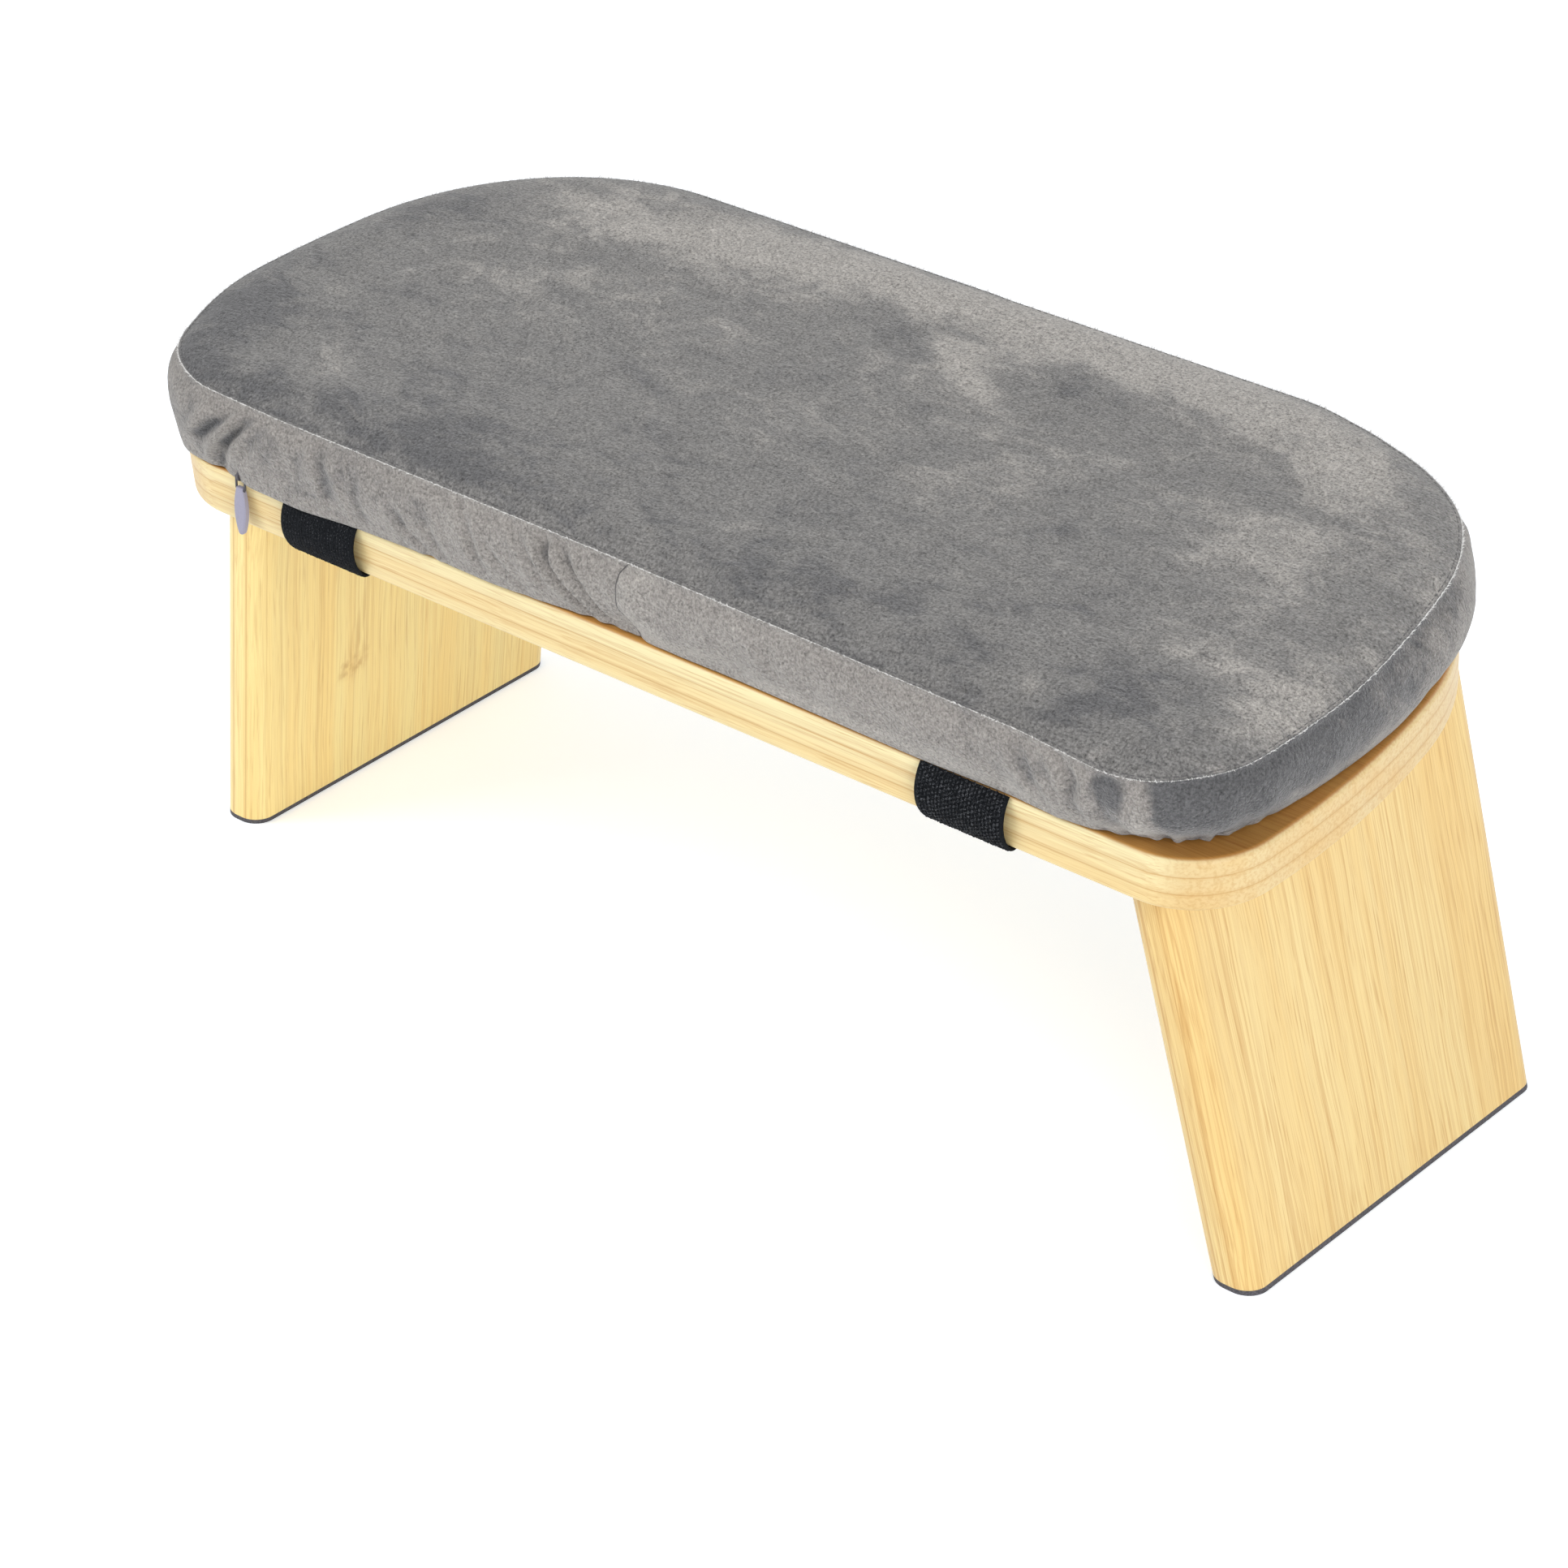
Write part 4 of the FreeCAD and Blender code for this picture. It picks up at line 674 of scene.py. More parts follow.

# Patches of the top, partly where the pile was brushed and partly painted light and shade, such as the
# painted highlight along the back rim: x, y, half length, half width, turn in degrees, how light
TOP_PATCHES = (
    (-151, 66, 30, 14, -12, 1.1), (-158, 36, 30, 14, 0, 0.8), (-60, 40, 20, 16, 0, 0.5),
    (-95, 78, 50, 16, 8, 1.9), (-98, 56, 30, 10, 0, 0.5), (-5, 88, 60, 14, 3, 2.1),
    (30, 64, 18, 14, -10, 1.3), (72, 88, 40, 14, 0, 2.2), (128, 82, 36, 16, -12, 2),
    (170, 68, 16, 18, -20, 1.4), (222, 40, 26, 11, -60, 0.6), (225, -35, 10, 34, 0, 0.8),
    (-206, -20, 14, 9, 40, 0.2), (-166, -69, 9, 10, 0, 1.5), (-144, 4, 30, 12, 20, 0.15),
    (-85, 18, 34, 14, 5, 0.9), (24, 46, 30, 8, -35, 1.3), (78, -4, 14, 16, 0, 0.6),
    (162, 18, 36, 30, 10, 1), (186, 4, 16, 34, 0, 0.5), (192, -47, 28, 11, -12, 1.1),
    (92, 20, 40, 14, 50, 0.5), (100, -90, 20, 12, 0, 0.4), (150, -88, 22, 7, 10, 0.5),
    (214, -60, 12, 24, -15, 0.7), (-220, -62, 16, 36, 10, -1.4), (-130, -93, 80, 15, 1, -0.9),
    (-176, -88, 30, 12, 0, -0.9), (-120, -38, 34, 22, 0, -0.35), (-142, -74, 30, 10, 0, -0.5),
    (-32, -55, 40, 20, 10, -0.35), (-22, 56, 30, 10, -6, -0.5), (62, 62, 20, 12, -10, -0.6),
    (45, -56, 44, 18, 5, -0.45), (61, -84, 34, 12, 5, -0.4), (180, -74, 26, 14, -8, -0.9),
    (-178, -14, 20, 14, 30, -0.8), (-216, 28, 13, 34, -25, -0.5), (115, -4, 20, 20, -20, -0.5),
)

# Patches of the side band, partly brushed pile and partly painted shade, such as the dark right end where the
# shade falls: place, height, half length, half height, how light
SIDE_PATCHES = (
    (244, 17, 32, 16, -1.8), (222, 24, 16, 7, -1.4), (302, 20, 50, 14, -0.75), (300, 32, 60, 5, -0.8),
    (256, 11, 8, 4, 0.8), (196, 23.5, 6.5, 6, -1.1), (205.5, 18, 4, 14, 1.6), (85, 4, 70, 4, 1.1),
    (22, 7, 14, 4, 0.8), (145, 6, 22, 5, 1), (170, 12, 30, 12, -0.3), (20, 14, 60, 12, 0.35),
    (-150, 16, 50, 14, -0.45), (-205, 20, 14, 10, -0.2), (-310, 16, 60, 14, -0.9), (-480, 18, 70, 12, 0.5),
    (480, 14, 80, 12, 0.4), (600, 18, 60, 12, -0.5),
)


def side_growth(share, seam, belly, bottom, recess):
    """How far outside the board's edge the side band stands, by its share of the height.

    Where the zipper runs, the band stays drawn in beside it and swells out quickly above it.
    """
    rise = smooth_step(0.03, 0.45, share) * (1 - recess) + smooth_step(0.08, 0.29, share) * recess
    fall = np.minimum(smooth_step(0.72, 1.12, share) * 1.55, 1.0)
    return bottom + (belly - bottom) * rise - (belly - seam) * fall


def coons(front, right, back, left):
    """Points inside four edges; front and back run left to right, left and right run front to back."""
    columns, rows = len(front), len(left)
    points = []
    for row in range(1, rows - 1):
        v = row / (rows - 1)
        for column in range(1, columns - 1):
            u = column / (columns - 1)
            point = front[column] * (1 - v) + back[column] * v + left[row] * (1 - u) + right[row] * u
            point = point - front[0] * (1 - u) * (1 - v) - front[-1] * u * (1 - v)
            points.append(point - back[0] * (1 - u) * v - back[-1] * u * v)
    return points


def cap_faces(ring, first, along, deep, upwards):
    """Faces that fill a ring of points with the grid of inner points that starts at a number."""
    def at(row, column):
        if row == 0:
            return ring + column
        if column == along:
            return ring + along + row
        if row == deep:
            return ring + along + deep + (along - column)
        if column == 0:
            return ring + 2 * along + deep + (deep - row)
        return first + (row - 1) * (along - 1) + column - 1

    faces = []
    for row in range(deep):
        for column in range(along):
            face = [at(row, column), at(row, column + 1), at(row + 1, column + 1), at(row + 1, column)]
            faces.append(face if upwards else face[::-1])
    return faces


def cushion_places(cushion):
    """Places along the edge, from the left front corner round by the right, closest where it folds."""
    corner, back = OUTLINE.front_corner, OUTLINE.back_corner
    rest = 2 * OUTLINE.half - 2 * back
    along, deep = cushion.around, cushion.deep
    fine = np.linspace(-corner, corner, 500)
    closeness = np.interp(fine, (-0.010, 0.010, 0.145, 0.160), (1.0, 0.4, 0.4, 0.9))
    run = np.concatenate(([0.0], np.cumsum(closeness[1:])))
    places = list(np.interp(run[-1] * np.arange(along) / along, run, fine))
    places += [corner + (back - corner) * index / deep for index in range(deep)]
    places += [back + rest * index / along for index in range(along)]
    places += [-back + (back - corner) * index / deep for index in range(deep)]
    return np.array(places)


def cushion_mesh(cushion):
    """The cover as one closed form: base, side band and crowned top, with the place of each point kept."""
    places = cushion_places(cushion)
    spots = np.array([OUTLINE.at(place) for place in places])
    flat, outwards = spots[:, :2], spots[:, 2:]
    wrapped = (places + OUTLINE.half) % (2 * OUTLINE.half) - OUTLINE.half

    def along_edge(table, column):
        """A column of a table by place, softened from point to point."""
        keys = np.array(table) * MM
        values = np.interp(wrapped, keys[:, 0], keys[:, column])
        kernel = np.hanning(7) / np.hanning(7).sum()
        return np.convolve(np.concatenate((values[-3:], values, values[:3])), kernel, "valid")

    bottom, drop = along_edge(BOTTOM_EDGE, 1), along_edge(BOTTOM_EDGE, 2)
    seam, lifted, belly = (along_edge(SEAM_LINE, column) for column in (1, 2, 3))
    base = BOARD_TOP + cushion.lift
    count = len(places)
    points, levels, around = [], [], []

    def add_ring(growth, height, level):
        growth = np.broadcast_to(np.reshape(growth, (-1, 1)), (count, 1))
        column = np.broadcast_to(np.reshape(height, (-1, 1)), (count, 1))
        points.extend(np.hstack((flat + outwards * growth, column)))
        levels.extend([level] * count)
        around.extend(wrapped)

    foot = cushion.overhang - cushion.foot_inset
    recess = 1 - smooth_step(-0.252, -0.232, wrapped)
    tucked = np.minimum(bottom - 0.001, foot)
    for inset in CAP_RINGS:
        add_ring(tucked - inset, base, -inset)
    for share in SIDE_RINGS:
        height = base + share * (cushion.height + lifted) - drop * (1 - smooth_step(0.0, 0.3, share))
        add_ring(side_growth(share, seam, belly, bottom, recess), height, share)
    for inset in TOP_RINGS:
        rise = cushion.crown * math.sin(math.pi / 2 * min(inset / cushion.crown_reach, 1.0)) ** 0.9
        height = base + cushion.height + lifted * (1 - inset / 0.030) + rise
        add_ring(seam - inset, height, 1 + inset / MM)

    rings = len(CAP_RINGS) + len(SIDE_RINGS) + len(TOP_RINGS)
    faces = []
    for ring in range(rings - 1):
        for index in range(count):
            after = (index + 1) % count
            low, high = ring * count, (ring + 1) * count
            faces.append([low + index, low + after, high + after, high + index])
    along, deep = cushion.around, cushion.deep
    for ring, upwards in ((0, False), (rings - 1, True)):
        edge = [np.array(point) for point in points[ring * count:(ring + 1) * count]]
        front = edge[:along + 1]
        right = edge[along:along + deep + 1]
        back = edge[along + deep:2 * along + deep + 1][::-1]
        left = [edge[0]] + edge[2 * along + deep:][::-1]
        inner = coons(front, right, back, left)
        faces += cap_faces(ring * count, len(points), along, deep, upwards)
        points.extend(inner)
        levels.extend([levels[ring * count] if upwards else -1.0] * len(inner))
        around.extend([0.0] * len(inner))
    points = np.array(points)
    points[:, 0] -= cushion.shift
    return points, faces, np.array(levels), np.array(around)


def place_round(mesh):
    """Each point's place along the edge, from its kept direction, which has no jump at the back."""
    angle = np.arctan2(kept(mesh, "round_sine"), kept(mesh, "round_cosine"))
    return angle * OUTLINE.half / math.pi


def seat_points(mesh):
    """A mesh's points in the seat's frame."""
    matrix = np.array(SEAT_BACK)
    return coordinates_of(mesh) @ matrix[:3, :3].T + matrix[:3, 3]


def keep(mesh, name, values):
    attribute = mesh.attributes.new(name, "FLOAT", "POINT")
    attribute.data.foreach_set("value", np.asarray(values, np.float32))


def kept(mesh, name):
    values = np.zeros(len(mesh.vertices), np.float32)
    mesh.attributes[name].data.foreach_get("value", values)
    return values


def coordinates_of(mesh):
    values = np.zeros(len(mesh.vertices) * 3, np.float64)
    mesh.vertices.foreach_get("co", values)
    return values.reshape(-1, 3)


def inflate(piece, cushion, levels):
    """Let the filling press the cover out: a short cloth simulation, with how far it may move capped."""
    held = piece.vertex_groups.new(name="held")
    for index, level in enumerate(levels):
        if level <= 0.06:
            weight = 1.0
        elif level < 0.93:
            weight = 0.0
        elif level < 2.2:
            weight = 1.0
        else:
            weight = float(smooth_step(12.0, 24.0, level)) * 0.97
        held.add([index], weight, "REPLACE")
    cloth = piece.modifiers.new("filling", "CLOTH")
    settings = cloth.settings
    settings.quality = 6
    settings.mass = 0.25
    settings.tension_stiffness = 18
    settings.compression_stiffness = 12
    settings.shear_stiffness = 6
    settings.bending_stiffness = 0.6
    settings.use_pressure = True
    settings.uniform_pressure_force = cushion.pressure
    settings.shrink_min = -cushion.slack
    settings.vertex_group_mass = held.name
    settings.effector_weights.gravity = 0
    cloth.collision_settings.use_self_collision = False
    rest = coordinates_of(piece.data)
    scene, steps = bpy.context.scene, 20
    for step in range(1, steps + 1):
        scene.frame_set(step)
    graph = bpy.context.evaluated_depsgraph_get()
    blown = piece.evaluated_get(graph)
    moved = coordinates_of(blown.data) - rest
    length = np.linalg.norm(moved, axis=1, keepdims=True)
    limit = np.where(levels > 1.2, cushion.reach * 0.45, cushion.reach)[:, None]
    moved *= limit * np.tanh(length / limit) / np.maximum(length, 1e-9)
    piece.modifiers.remove(cloth)
    scene.frame_set(1)
    piece.data.vertices.foreach_set("co", (rest + moved).ravel())
    piece.data.update()


def add_folds(mesh, cushion):
    """Folds, the top seam's ridge and the band's join, pushed along the surface's own normals.

    Painted light and shade is kept beside them, lighter on a ridge and darker in a fold, together with where
    the pile was brushed.
    """
    level, place = kept(mesh, "level"), place_round(mesh)
    normals = np.zeros(len(level) * 3)
    mesh.vertices.foreach_get("normal", normals)
    normals = normals.reshape(-1, 3)
    seat = seat_points(mesh)
    height = seat[:, 2] - BOARD_TOP - cushion.lift
    side = (level > -0.0005) & (level <= 1.0)
    push = np.zeros(len(level))
    for width, depth, line in FOLDS:
        line_place, line_height = np.array(line).T * MM
        order = np.argsort(line_height)
        middle = np.interp(height, line_height[order], line_place[order])
        low, high = line_height.min(), min(line_height.max(), cushion.height - 0.001)
        fade = smooth_step(low - 0.005, low + 0.004, height)
        fade *= 1 - smooth_step(high - 0.006, high + 0.002, height)
        off = (place - middle) / (width * MM)
        shape = np.exp(-off * off) - 0.40 * np.exp(-((off - 2.0) ** 2)) - 0.40 * np.exp(-((off + 2.0) ** 2))
        push -= np.where(side, depth * MM * fade * shape, 0.0)
    # Painted shade: a fold's hollow is darkened and its ridge lightened, in step with its depth
    fold_depth_for_full_shade = 0.0036
    nap = push / fold_depth_for_full_shade

    # The cloth is gathered along the band's foot at the right corner
    corner, spread, depth = 0.222, 0.030, 0.0011
    gathered = np.exp(-(((place - corner) / spread) ** 2)) * (1 - smooth_step(0.0, 0.34, level))
    ripple = np.sin(place / 0.0017) * 0.6 + np.sin(place / 0.0011 + 1.3) * 0.4
    push += np.where(side, depth * gathered * ripple, 0.0)
    # Painted shade and highlight: the gathers are darkened in their hollows and lightened on their crests
    nap += np.where(side, 0.7 * gathered * ripple, 0.0)

    # The top seam stands up and draws the band in below it, and one side of the join laps over the other
    from_seam = np.where(level <= 1.0, (level - 1.0) * cushion.height, (level - 1.0) * MM)
    push += 0.00035 * np.exp(-((from_seam / 0.0008) ** 2))
    push -= 0.00045 * np.exp(-(((from_seam + 0.0022) / 0.0014) ** 2))
    join_place, join_height = np.array(JOIN).T * MM
    off = place - np.interp(height, join_height[::-1], join_place[::-1])
    past_join = np.where(side, smooth_step(-0.001, 0.002, off), 0.0)
    push += 0.0004 * past_join * (1 - smooth_step(0.004, 0.014, off))
    push -= np.where(side, 0.0006 * np.exp(-((off / 0.0014) ** 2)), 0.0)
    nap += 0.5 * past_join * (1 - smooth_step(0.006, 0.030, off))

    # The filling swells softly under the top
    swell = np.sin(seat[:, 0] / 0.019 + 2 * np.sin(seat[:, 1] / 0.03))
    swell *= np.sin(seat[:, 1] / 0.015 + seat[:, 0] / 0.05)
    push += 0.00045 * swell * smooth_step(3.0, 14.0, level)
    # Brushed pile and painted light and shade, patch by patch, on the top and on the side band
    for x, y, length, width, turn, light in TOP_PATCHES:
        cos, sin = math.cos(math.radians(turn)), math.sin(math.radians(turn))
        from_x, from_y = seat[:, 0] - x * MM, seat[:, 1] - y * MM
        along = (from_x * cos + from_y * sin) / (length * MM)
        across = (from_y * cos - from_x * sin) / (width * MM)
        nap += np.where(level > 1.0, light * np.exp(-along * along - across * across), 0.0)
    for at, up, length, tall, light in SIDE_PATCHES:
        off = (place - at * MM) / (length * MM)
        above = (height - up * MM) / (tall * MM)
        nap += np.where(side, light * np.exp(-off * off - above * above), 0.0)
    keep(mesh, "nap", nap)
    points = coordinates_of(mesh) + normals * push[:, None]
    mesh.vertices.foreach_set("co", points.ravel())
    mesh.update()


def ring_on(mesh, value):
    """Points and normals of the cover where its level has a value, in order round the cushion and closed."""
    level, place = kept(mesh, "level"), place_round(mesh)
    chosen = np.nonzero(np.abs(level - value) < 0.004)[0]
    ring = [mesh.vertices[int(index)] for index in chosen[np.argsort(place[chosen])]]
    ring.append(ring[0])
    return [vertex.co.copy() for vertex in ring], [vertex.normal.copy() for vertex in ring]


def sew_cushion(piece, cushion, tree):
    """The tufts of pile that stand up along the top seam, its stitches, and the thread of the band's join."""
    mesh = piece.data
    # Painted highlight: the seam's tufts take the pale seam colour, which stands for the pile ends and the
    # light they catch
    pile, thread = (
        mottled(name, colour, (1.0, 1.5), (1700.0,), relief=0.0001,
                Roughness=0.75, Sheen_Weight=0.2, Specular_IOR_Level=0.3)
        for name, colour in (("seam_pile_highlight", cushion.seam_highlight_colour), ("sewing_thread", cushion.thread_colour))
    )
    path, facings = ring_on(mesh, 1.0)
    upwards = SEAT.to_3x3() @ Vector((0, 0, 1))
    facings = [(normal + upwards * 0.2).normalized() for normal in facings]
    foot, tall, sunk = 0.00024, 0.00100, 0.0003
    corners = [(foot * math.cos(turn), foot * math.sin(turn), -sunk) for turn in (0.0, 2.1, 4.2)]
    tuft = helper_shape("tuft", corners + [(0.0, 0.0, tall)], [(0, 1, 3), (1, 2, 3), (2, 0, 3), (2, 1, 0)])
    spacing = cushion.tuft_spacing
    tufts = repeat_along("seam_tufts", tree, path, facings, tuft, pile, spacing, 0.55, 0.45, 4, WHOLE)
    path, facings = ring_on(mesh, 1 + TOP_RINGS[1] / MM)
    stitch_length, stitch_radius = 0.0015, 0.00018
    shape = helper_shape("stitch", *bar(stitch_length, stitch_radius, 3))
    shape.data.transform(Matrix.Rotation(math.pi / 2, 4, "Z"))
    spacing = cushion.stitch
    stitches = repeat_along("seam_stitches", tree, path, facings, shape, thread, spacing, 0.06, 0.1, 5, WHOLE)

    surface = BVHTree.FromPolygons(
        [vertex.co for vertex in mesh.vertices], [tuple(face.vertices) for face in mesh.polygons])
    join_place, join_height = np.array(JOIN).T * MM
    path, facings = [], []
    base, reach, afloat = BOARD_TOP + cushion.lift, 0.03, 0.00003
    for height in np.linspace(0.0012, cushion.height - 0.0004, 60):
        x, y, out_x, out_y = OUTLINE.at(float(np.interp(height, join_height[::-1], join_place[::-1])))
        start = SEAT @ Vector((x - cushion.shift + out_x * reach, y + out_y * reach, base + height))
        spot, normal, _, _ = surface.ray_cast(start, SEAT.to_3x3() @ Vector((-out_x, -out_y, 0)))
        path.append(spot + normal * afloat)
        facings.append(normal)
    strand_length, strand_radius, spacing = 0.00055, 0.00016, 0.00045
    strand = helper_shape("strand", *bar(strand_length, strand_radius, 3))
    strand.data.transform(Matrix.Rotation(math.pi / 2, 4, "Z"))
    twists = repeat_along("join_thread", tree, path, facings, strand, thread, spacing, 0.08, 0.1, 6, WHOLE)
    for made in (tufts, stitches, twists):
        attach(made, "seat")


def make_cushion(cushion, materials):
    points, faces, levels, around = cushion_mesh(cushion)
    piece = new_piece("cushion_cover", points, faces)
    keep(piece.data, "level", levels)
    keep(piece.data, "round_cosine", np.cos(around * math.pi / OUTLINE.half))
    keep(piece.data, "round_sine", np.sin(around * math.pi / OUTLINE.half))
    inflate(piece, cushion, levels)
    smoothing = piece.modifiers.new("cells", "SUBSURF")
    smoothing.levels = smoothing.render_levels = 1
    piece = baked(piece, "cushion_cover")
    mesh = piece.data
    add_folds(mesh, cushion)
    for material in materials:
        mesh.materials.append(material)
    level = kept(mesh, "level")
    for face in mesh.polygons:
        mean = sum(level[number] for number in face.vertices) / len(face.vertices)
        face.material_index = 0 if mean > 1.0 else 1 if mean > 0.0 else 2
    mesh.shade_smooth()
    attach(piece, "seat")
    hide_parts("cushion_foam", "cushion_side_band", "cushion_top_panel", "cushion_bottom_panel")
    return piece


# What repeats along a path or at points: yarns, teeth, tufts, stitches and screws

def copying_tree(name, inputs):
    """An empty Geometry Nodes tree for copies of a shape, and its inputs beside the usual ones."""
    tree = bpy.data.node_groups.new(name, "GeometryNodeTree")
    usual = {"Points": "Geometry", "Shape": "Object", "Turn Spread": "Float", "Seed": "Int"}
    for label, kind in {**usual, "Finish": "Material", **inputs}.items():
        tree.interface.new_socket(label, in_out="INPUT", socket_type="NodeSocket" + kind)
    tree.interface.new_socket("Pieces", in_out="OUTPUT", socket_type="NodeSocketGeometry")
    given = dict(tree.nodes.new("NodeGroupInput").outputs.items())
    given["Turn Spread"] = Value(given["Turn Spread"])
    return tree, given


def set_copies(tree, given, points, axis, way, lean, **scale):
    """Copies of the shape on points, made real and finished.

    Their Z turns to the points' facing, one more axis to a way, and then each one leans.
    """
    facing = add(tree, "GeometryNodeInputNamedAttribute", {"Name": "facing"}, data_type="FLOAT_VECTOR")
    values = {"Primary Axis": facing.outputs[0], "Secondary Axis": way}
    turn = add(tree, "FunctionNodeAxesToRotation", values, primary_axis="Z", secondary_axis=axis)
    lean = add(tree, "FunctionNodeEulerToRotation", {0: lean})
    values = {0: turn.outputs[0], 1: lean.outputs[0]}
    turned = add(tree, "FunctionNodeRotateRotation", values, rotation_space="LOCAL")
    shape = add(tree, "GeometryNodeObjectInfo", {"Object": given["Shape"]}).outputs["Geometry"]
    values = {"Points": points, "Instance": shape, "Rotation": turned.outputs[0], **scale}
    copies = add(tree, "GeometryNodeInstanceOnPoints", values)
    real = add(tree, "GeometryNodeRealizeInstances", {0: copies.outputs[0]})
    finish = add(tree, "GeometryNodeSetMaterial", {"Geometry": real.outputs[0], "Material": given["Finish"]})
    tree.links.new(finish.outputs[0], tree.nodes.new("NodeGroupOutput").inputs[0])


def repeat_tree():
    """Copies of a shape along a path, with the path's own facing direction as the copies' Z."""
    tree = bpy.data.node_groups.get("repeat_along_path")
    if tree:
        return tree
    tree, given = copying_tree("repeat_along_path", {"Spacing": "Float", "Size Spread": "Float"})
    spread, size_spread = given["Turn Spread"], Value(given["Size Spread"])
    curve = add(tree, "GeometryNodeMeshToCurve", {"Mesh": given["Points"]})
    values = {"Curve": curve.outputs[0], "Length": given["Spacing"]}
    spaced = add(tree, "GeometryNodeResampleCurve", values, mode="LENGTH")
    tangent = tree.nodes.new("GeometryNodeInputTangent").outputs[0]
    least, most = (combined(tree, part, part, part) for part in (spread * -1.0, spread))
    values = {0: least, 1: most, "Seed": given["Seed"]}
    lean = add(tree, "FunctionNodeRandomValue", values, data_type="FLOAT_VECTOR").outputs[0]
    values = {2: 1.0 - size_spread, 3: size_spread + 1.0, "Seed": given["Seed"]}
    size = add(tree, "FunctionNodeRandomValue", values, data_type="FLOAT").outputs[1]
    set_copies(tree, given, spaced.outputs[0], "X", tangent, lean, Scale=size)
    return tree


def screw_tree():
    """A screw at each point of a mesh, its face along the point's own facing direction."""
    tree, given = copying_tree("screws_at_points", {})
    spots = add(tree, "GeometryNodeMeshToPoints", {"Mesh": given["Points"]})
    spread = given["Turn Spread"]
    values = {2: spread * -1.0, 3: spread, "Seed": given["Seed"]}
    twist = add(tree, "FunctionNodeRandomValue", values, data_type="FLOAT").outputs[1]
    set_copies(tree, given, spots.outputs[0], "Y", (0, 1, 0), combined(tree, 0.0, 0.0, twist))
    return tree


def repeat_along(name, tree, path, facings, shape, finish, spacing=0.0, turn_spread=0.0, size_spread=0.0,
                 seed=1, place=SEAT, edges=None):
    """Bake copies of a shape along a path given in the seat's or another frame, and remove the helpers."""
    mesh = bpy.data.meshes.new(name + "_path")
    joined = [(number, number + 1) for number in range(len(path) - 1)] if edges is None else edges
    mesh.from_pydata([tuple(point) for point in path], joined, [])
    mesh.transform(place)
    attribute = mesh.attributes.new("facing", "FLOAT_VECTOR", "POINT")
    turn = place.to_3x3()
    for entry, facing in zip(attribute.data, facings):
        entry.vector = turn @ Vector(facing)
    holder = bpy.data.objects.new(name + "_path", mesh)
    bpy.context.scene.collection.objects.link(holder)
    nodes = holder.modifiers.new("copies", "NODES")
    nodes.node_group = tree
    values = {
        "Shape": shape, "Spacing": spacing, "Turn Spread": turn_spread, "Size Spread": size_spread,
        "Seed": seed, "Finish": finish,
    }
    for item in tree.interface.items_tree:
        if item.in_out == "INPUT" and item.name in values:
            nodes[item.identifier] = values[item.name]
    made = baked(holder, name)
    bpy.data.objects.remove(shape)
    return made


def helper_shape(name, points, faces):
    """A shape to be copied, made at the origin in its own frame."""
    return new_piece(name, points, faces, WHOLE)


def bar(length, radius, sides, height_share=1.0):
    """A rounded bar along Y, its upper half standing on the XY plane."""
    points, faces = [], []
    for end in (-1, 1):
        for index in range(sides + 1):
            angle = math.pi * index / sides
            height = radius * height_share * math.sin(angle)
            points.append((radius * math.cos(angle), end * length / 2, height))
    for index in range(sides):
        faces.append((index, index + 1, sides + 2 + index, sides + 1 + index))
    faces.append(tuple(range(sides, -1, -1)))
    faces.append(tuple(range(sides + 1, 2 * sides + 2)))
    faces.append((0, sides + 1, 2 * sides + 1, sides))
    return points, faces


# Elastic straps

def strap_path(node):
    """The strap's middle line in the seat's frame and which way it faces, from the front end to the back end.

    Its ends are tucked under the cushion's lip, where they are sewn into the bottom seam.
    """
    low, high = seat_box(node)
    # The board's edge rounding, from the board to the band's middle line, the bow's radius before the board's
    # edge, and how far the ends go in
    edge_round, middle, bow, tucked = 0.002, 0.00105, 0.0155, 0.0004
    bend = edge_round + middle
    y, top, bottom = OUTLINE.half_width - edge_round, BOARD_TOP - edge_round, edge_round
    tilt = math.asin((top - bottom) / 2 / (bow - bend))
    bow_y = y - (bow - bend) * math.cos(tilt)
    bow_z = (top + bottom) / 2
    start = math.asin((edge_round + tucked) / bend)
    quarter = math.pi / 2
    arcs = [(y, top, bend, start, tilt), (bow_y, bow_z, bow, tilt, -tilt), (y, bottom, bend, -tilt, -quarter)]
    half = []
    steps, under_steps = 10, 8
    for centre_y, centre_z, radius, start, end in arcs:
        for index in range(steps + 1):
            angle = start + (end - start) * index / steps
            cos, sin = math.cos(angle), math.sin(angle)
            half.append(((centre_y + radius * cos, centre_z + radius * sin), (cos, sin)))
    under = [((y * (1 - index / under_steps), -middle), (0.0, -1.0)) for index in range(1, under_steps + 1)]
    back = half + under
    front = [((-point[0], point[1]), (-facing[0], facing[1])) for point, facing in back[:-1]]
    x = (low.x + high.x) / 2
    path = [(x, point[0], point[1]) for point, _ in front + back[::-1]]
    facings = [(0.0, facing[0], facing[1]) for _, facing in front + back[::-1]]
    return path, facings


def ribbon(name, path, facings, width, thickness, rounding=3):
    """A band with rounded edges along a path; its UV map runs in metres, across and along."""
    section = []
    half, thick = width / 2 - thickness / 2, thickness / 2
    for side in (1, -1):
        for index in range(rounding + 1):
            angle = math.pi / 2 - math.pi * index / rounding
            section.append((side * (half + thick * math.cos(angle)), side * thick * math.sin(angle)))
    piece = swept(name, path, facings, section, (1, 0, 0))
    run = [0.0]
    for last, point in zip(path, path[1:]):
        run.append(run[-1] + (Vector(point) - Vector(last)).length)
    layer = piece.data.uv_layers.new(name="weave")
    for loop in piece.data.loops:
        number, corner = divmod(loop.vertex_index, len(section))
        layer.data[loop.index].uv = (section[corner][0], run[number])
    return piece


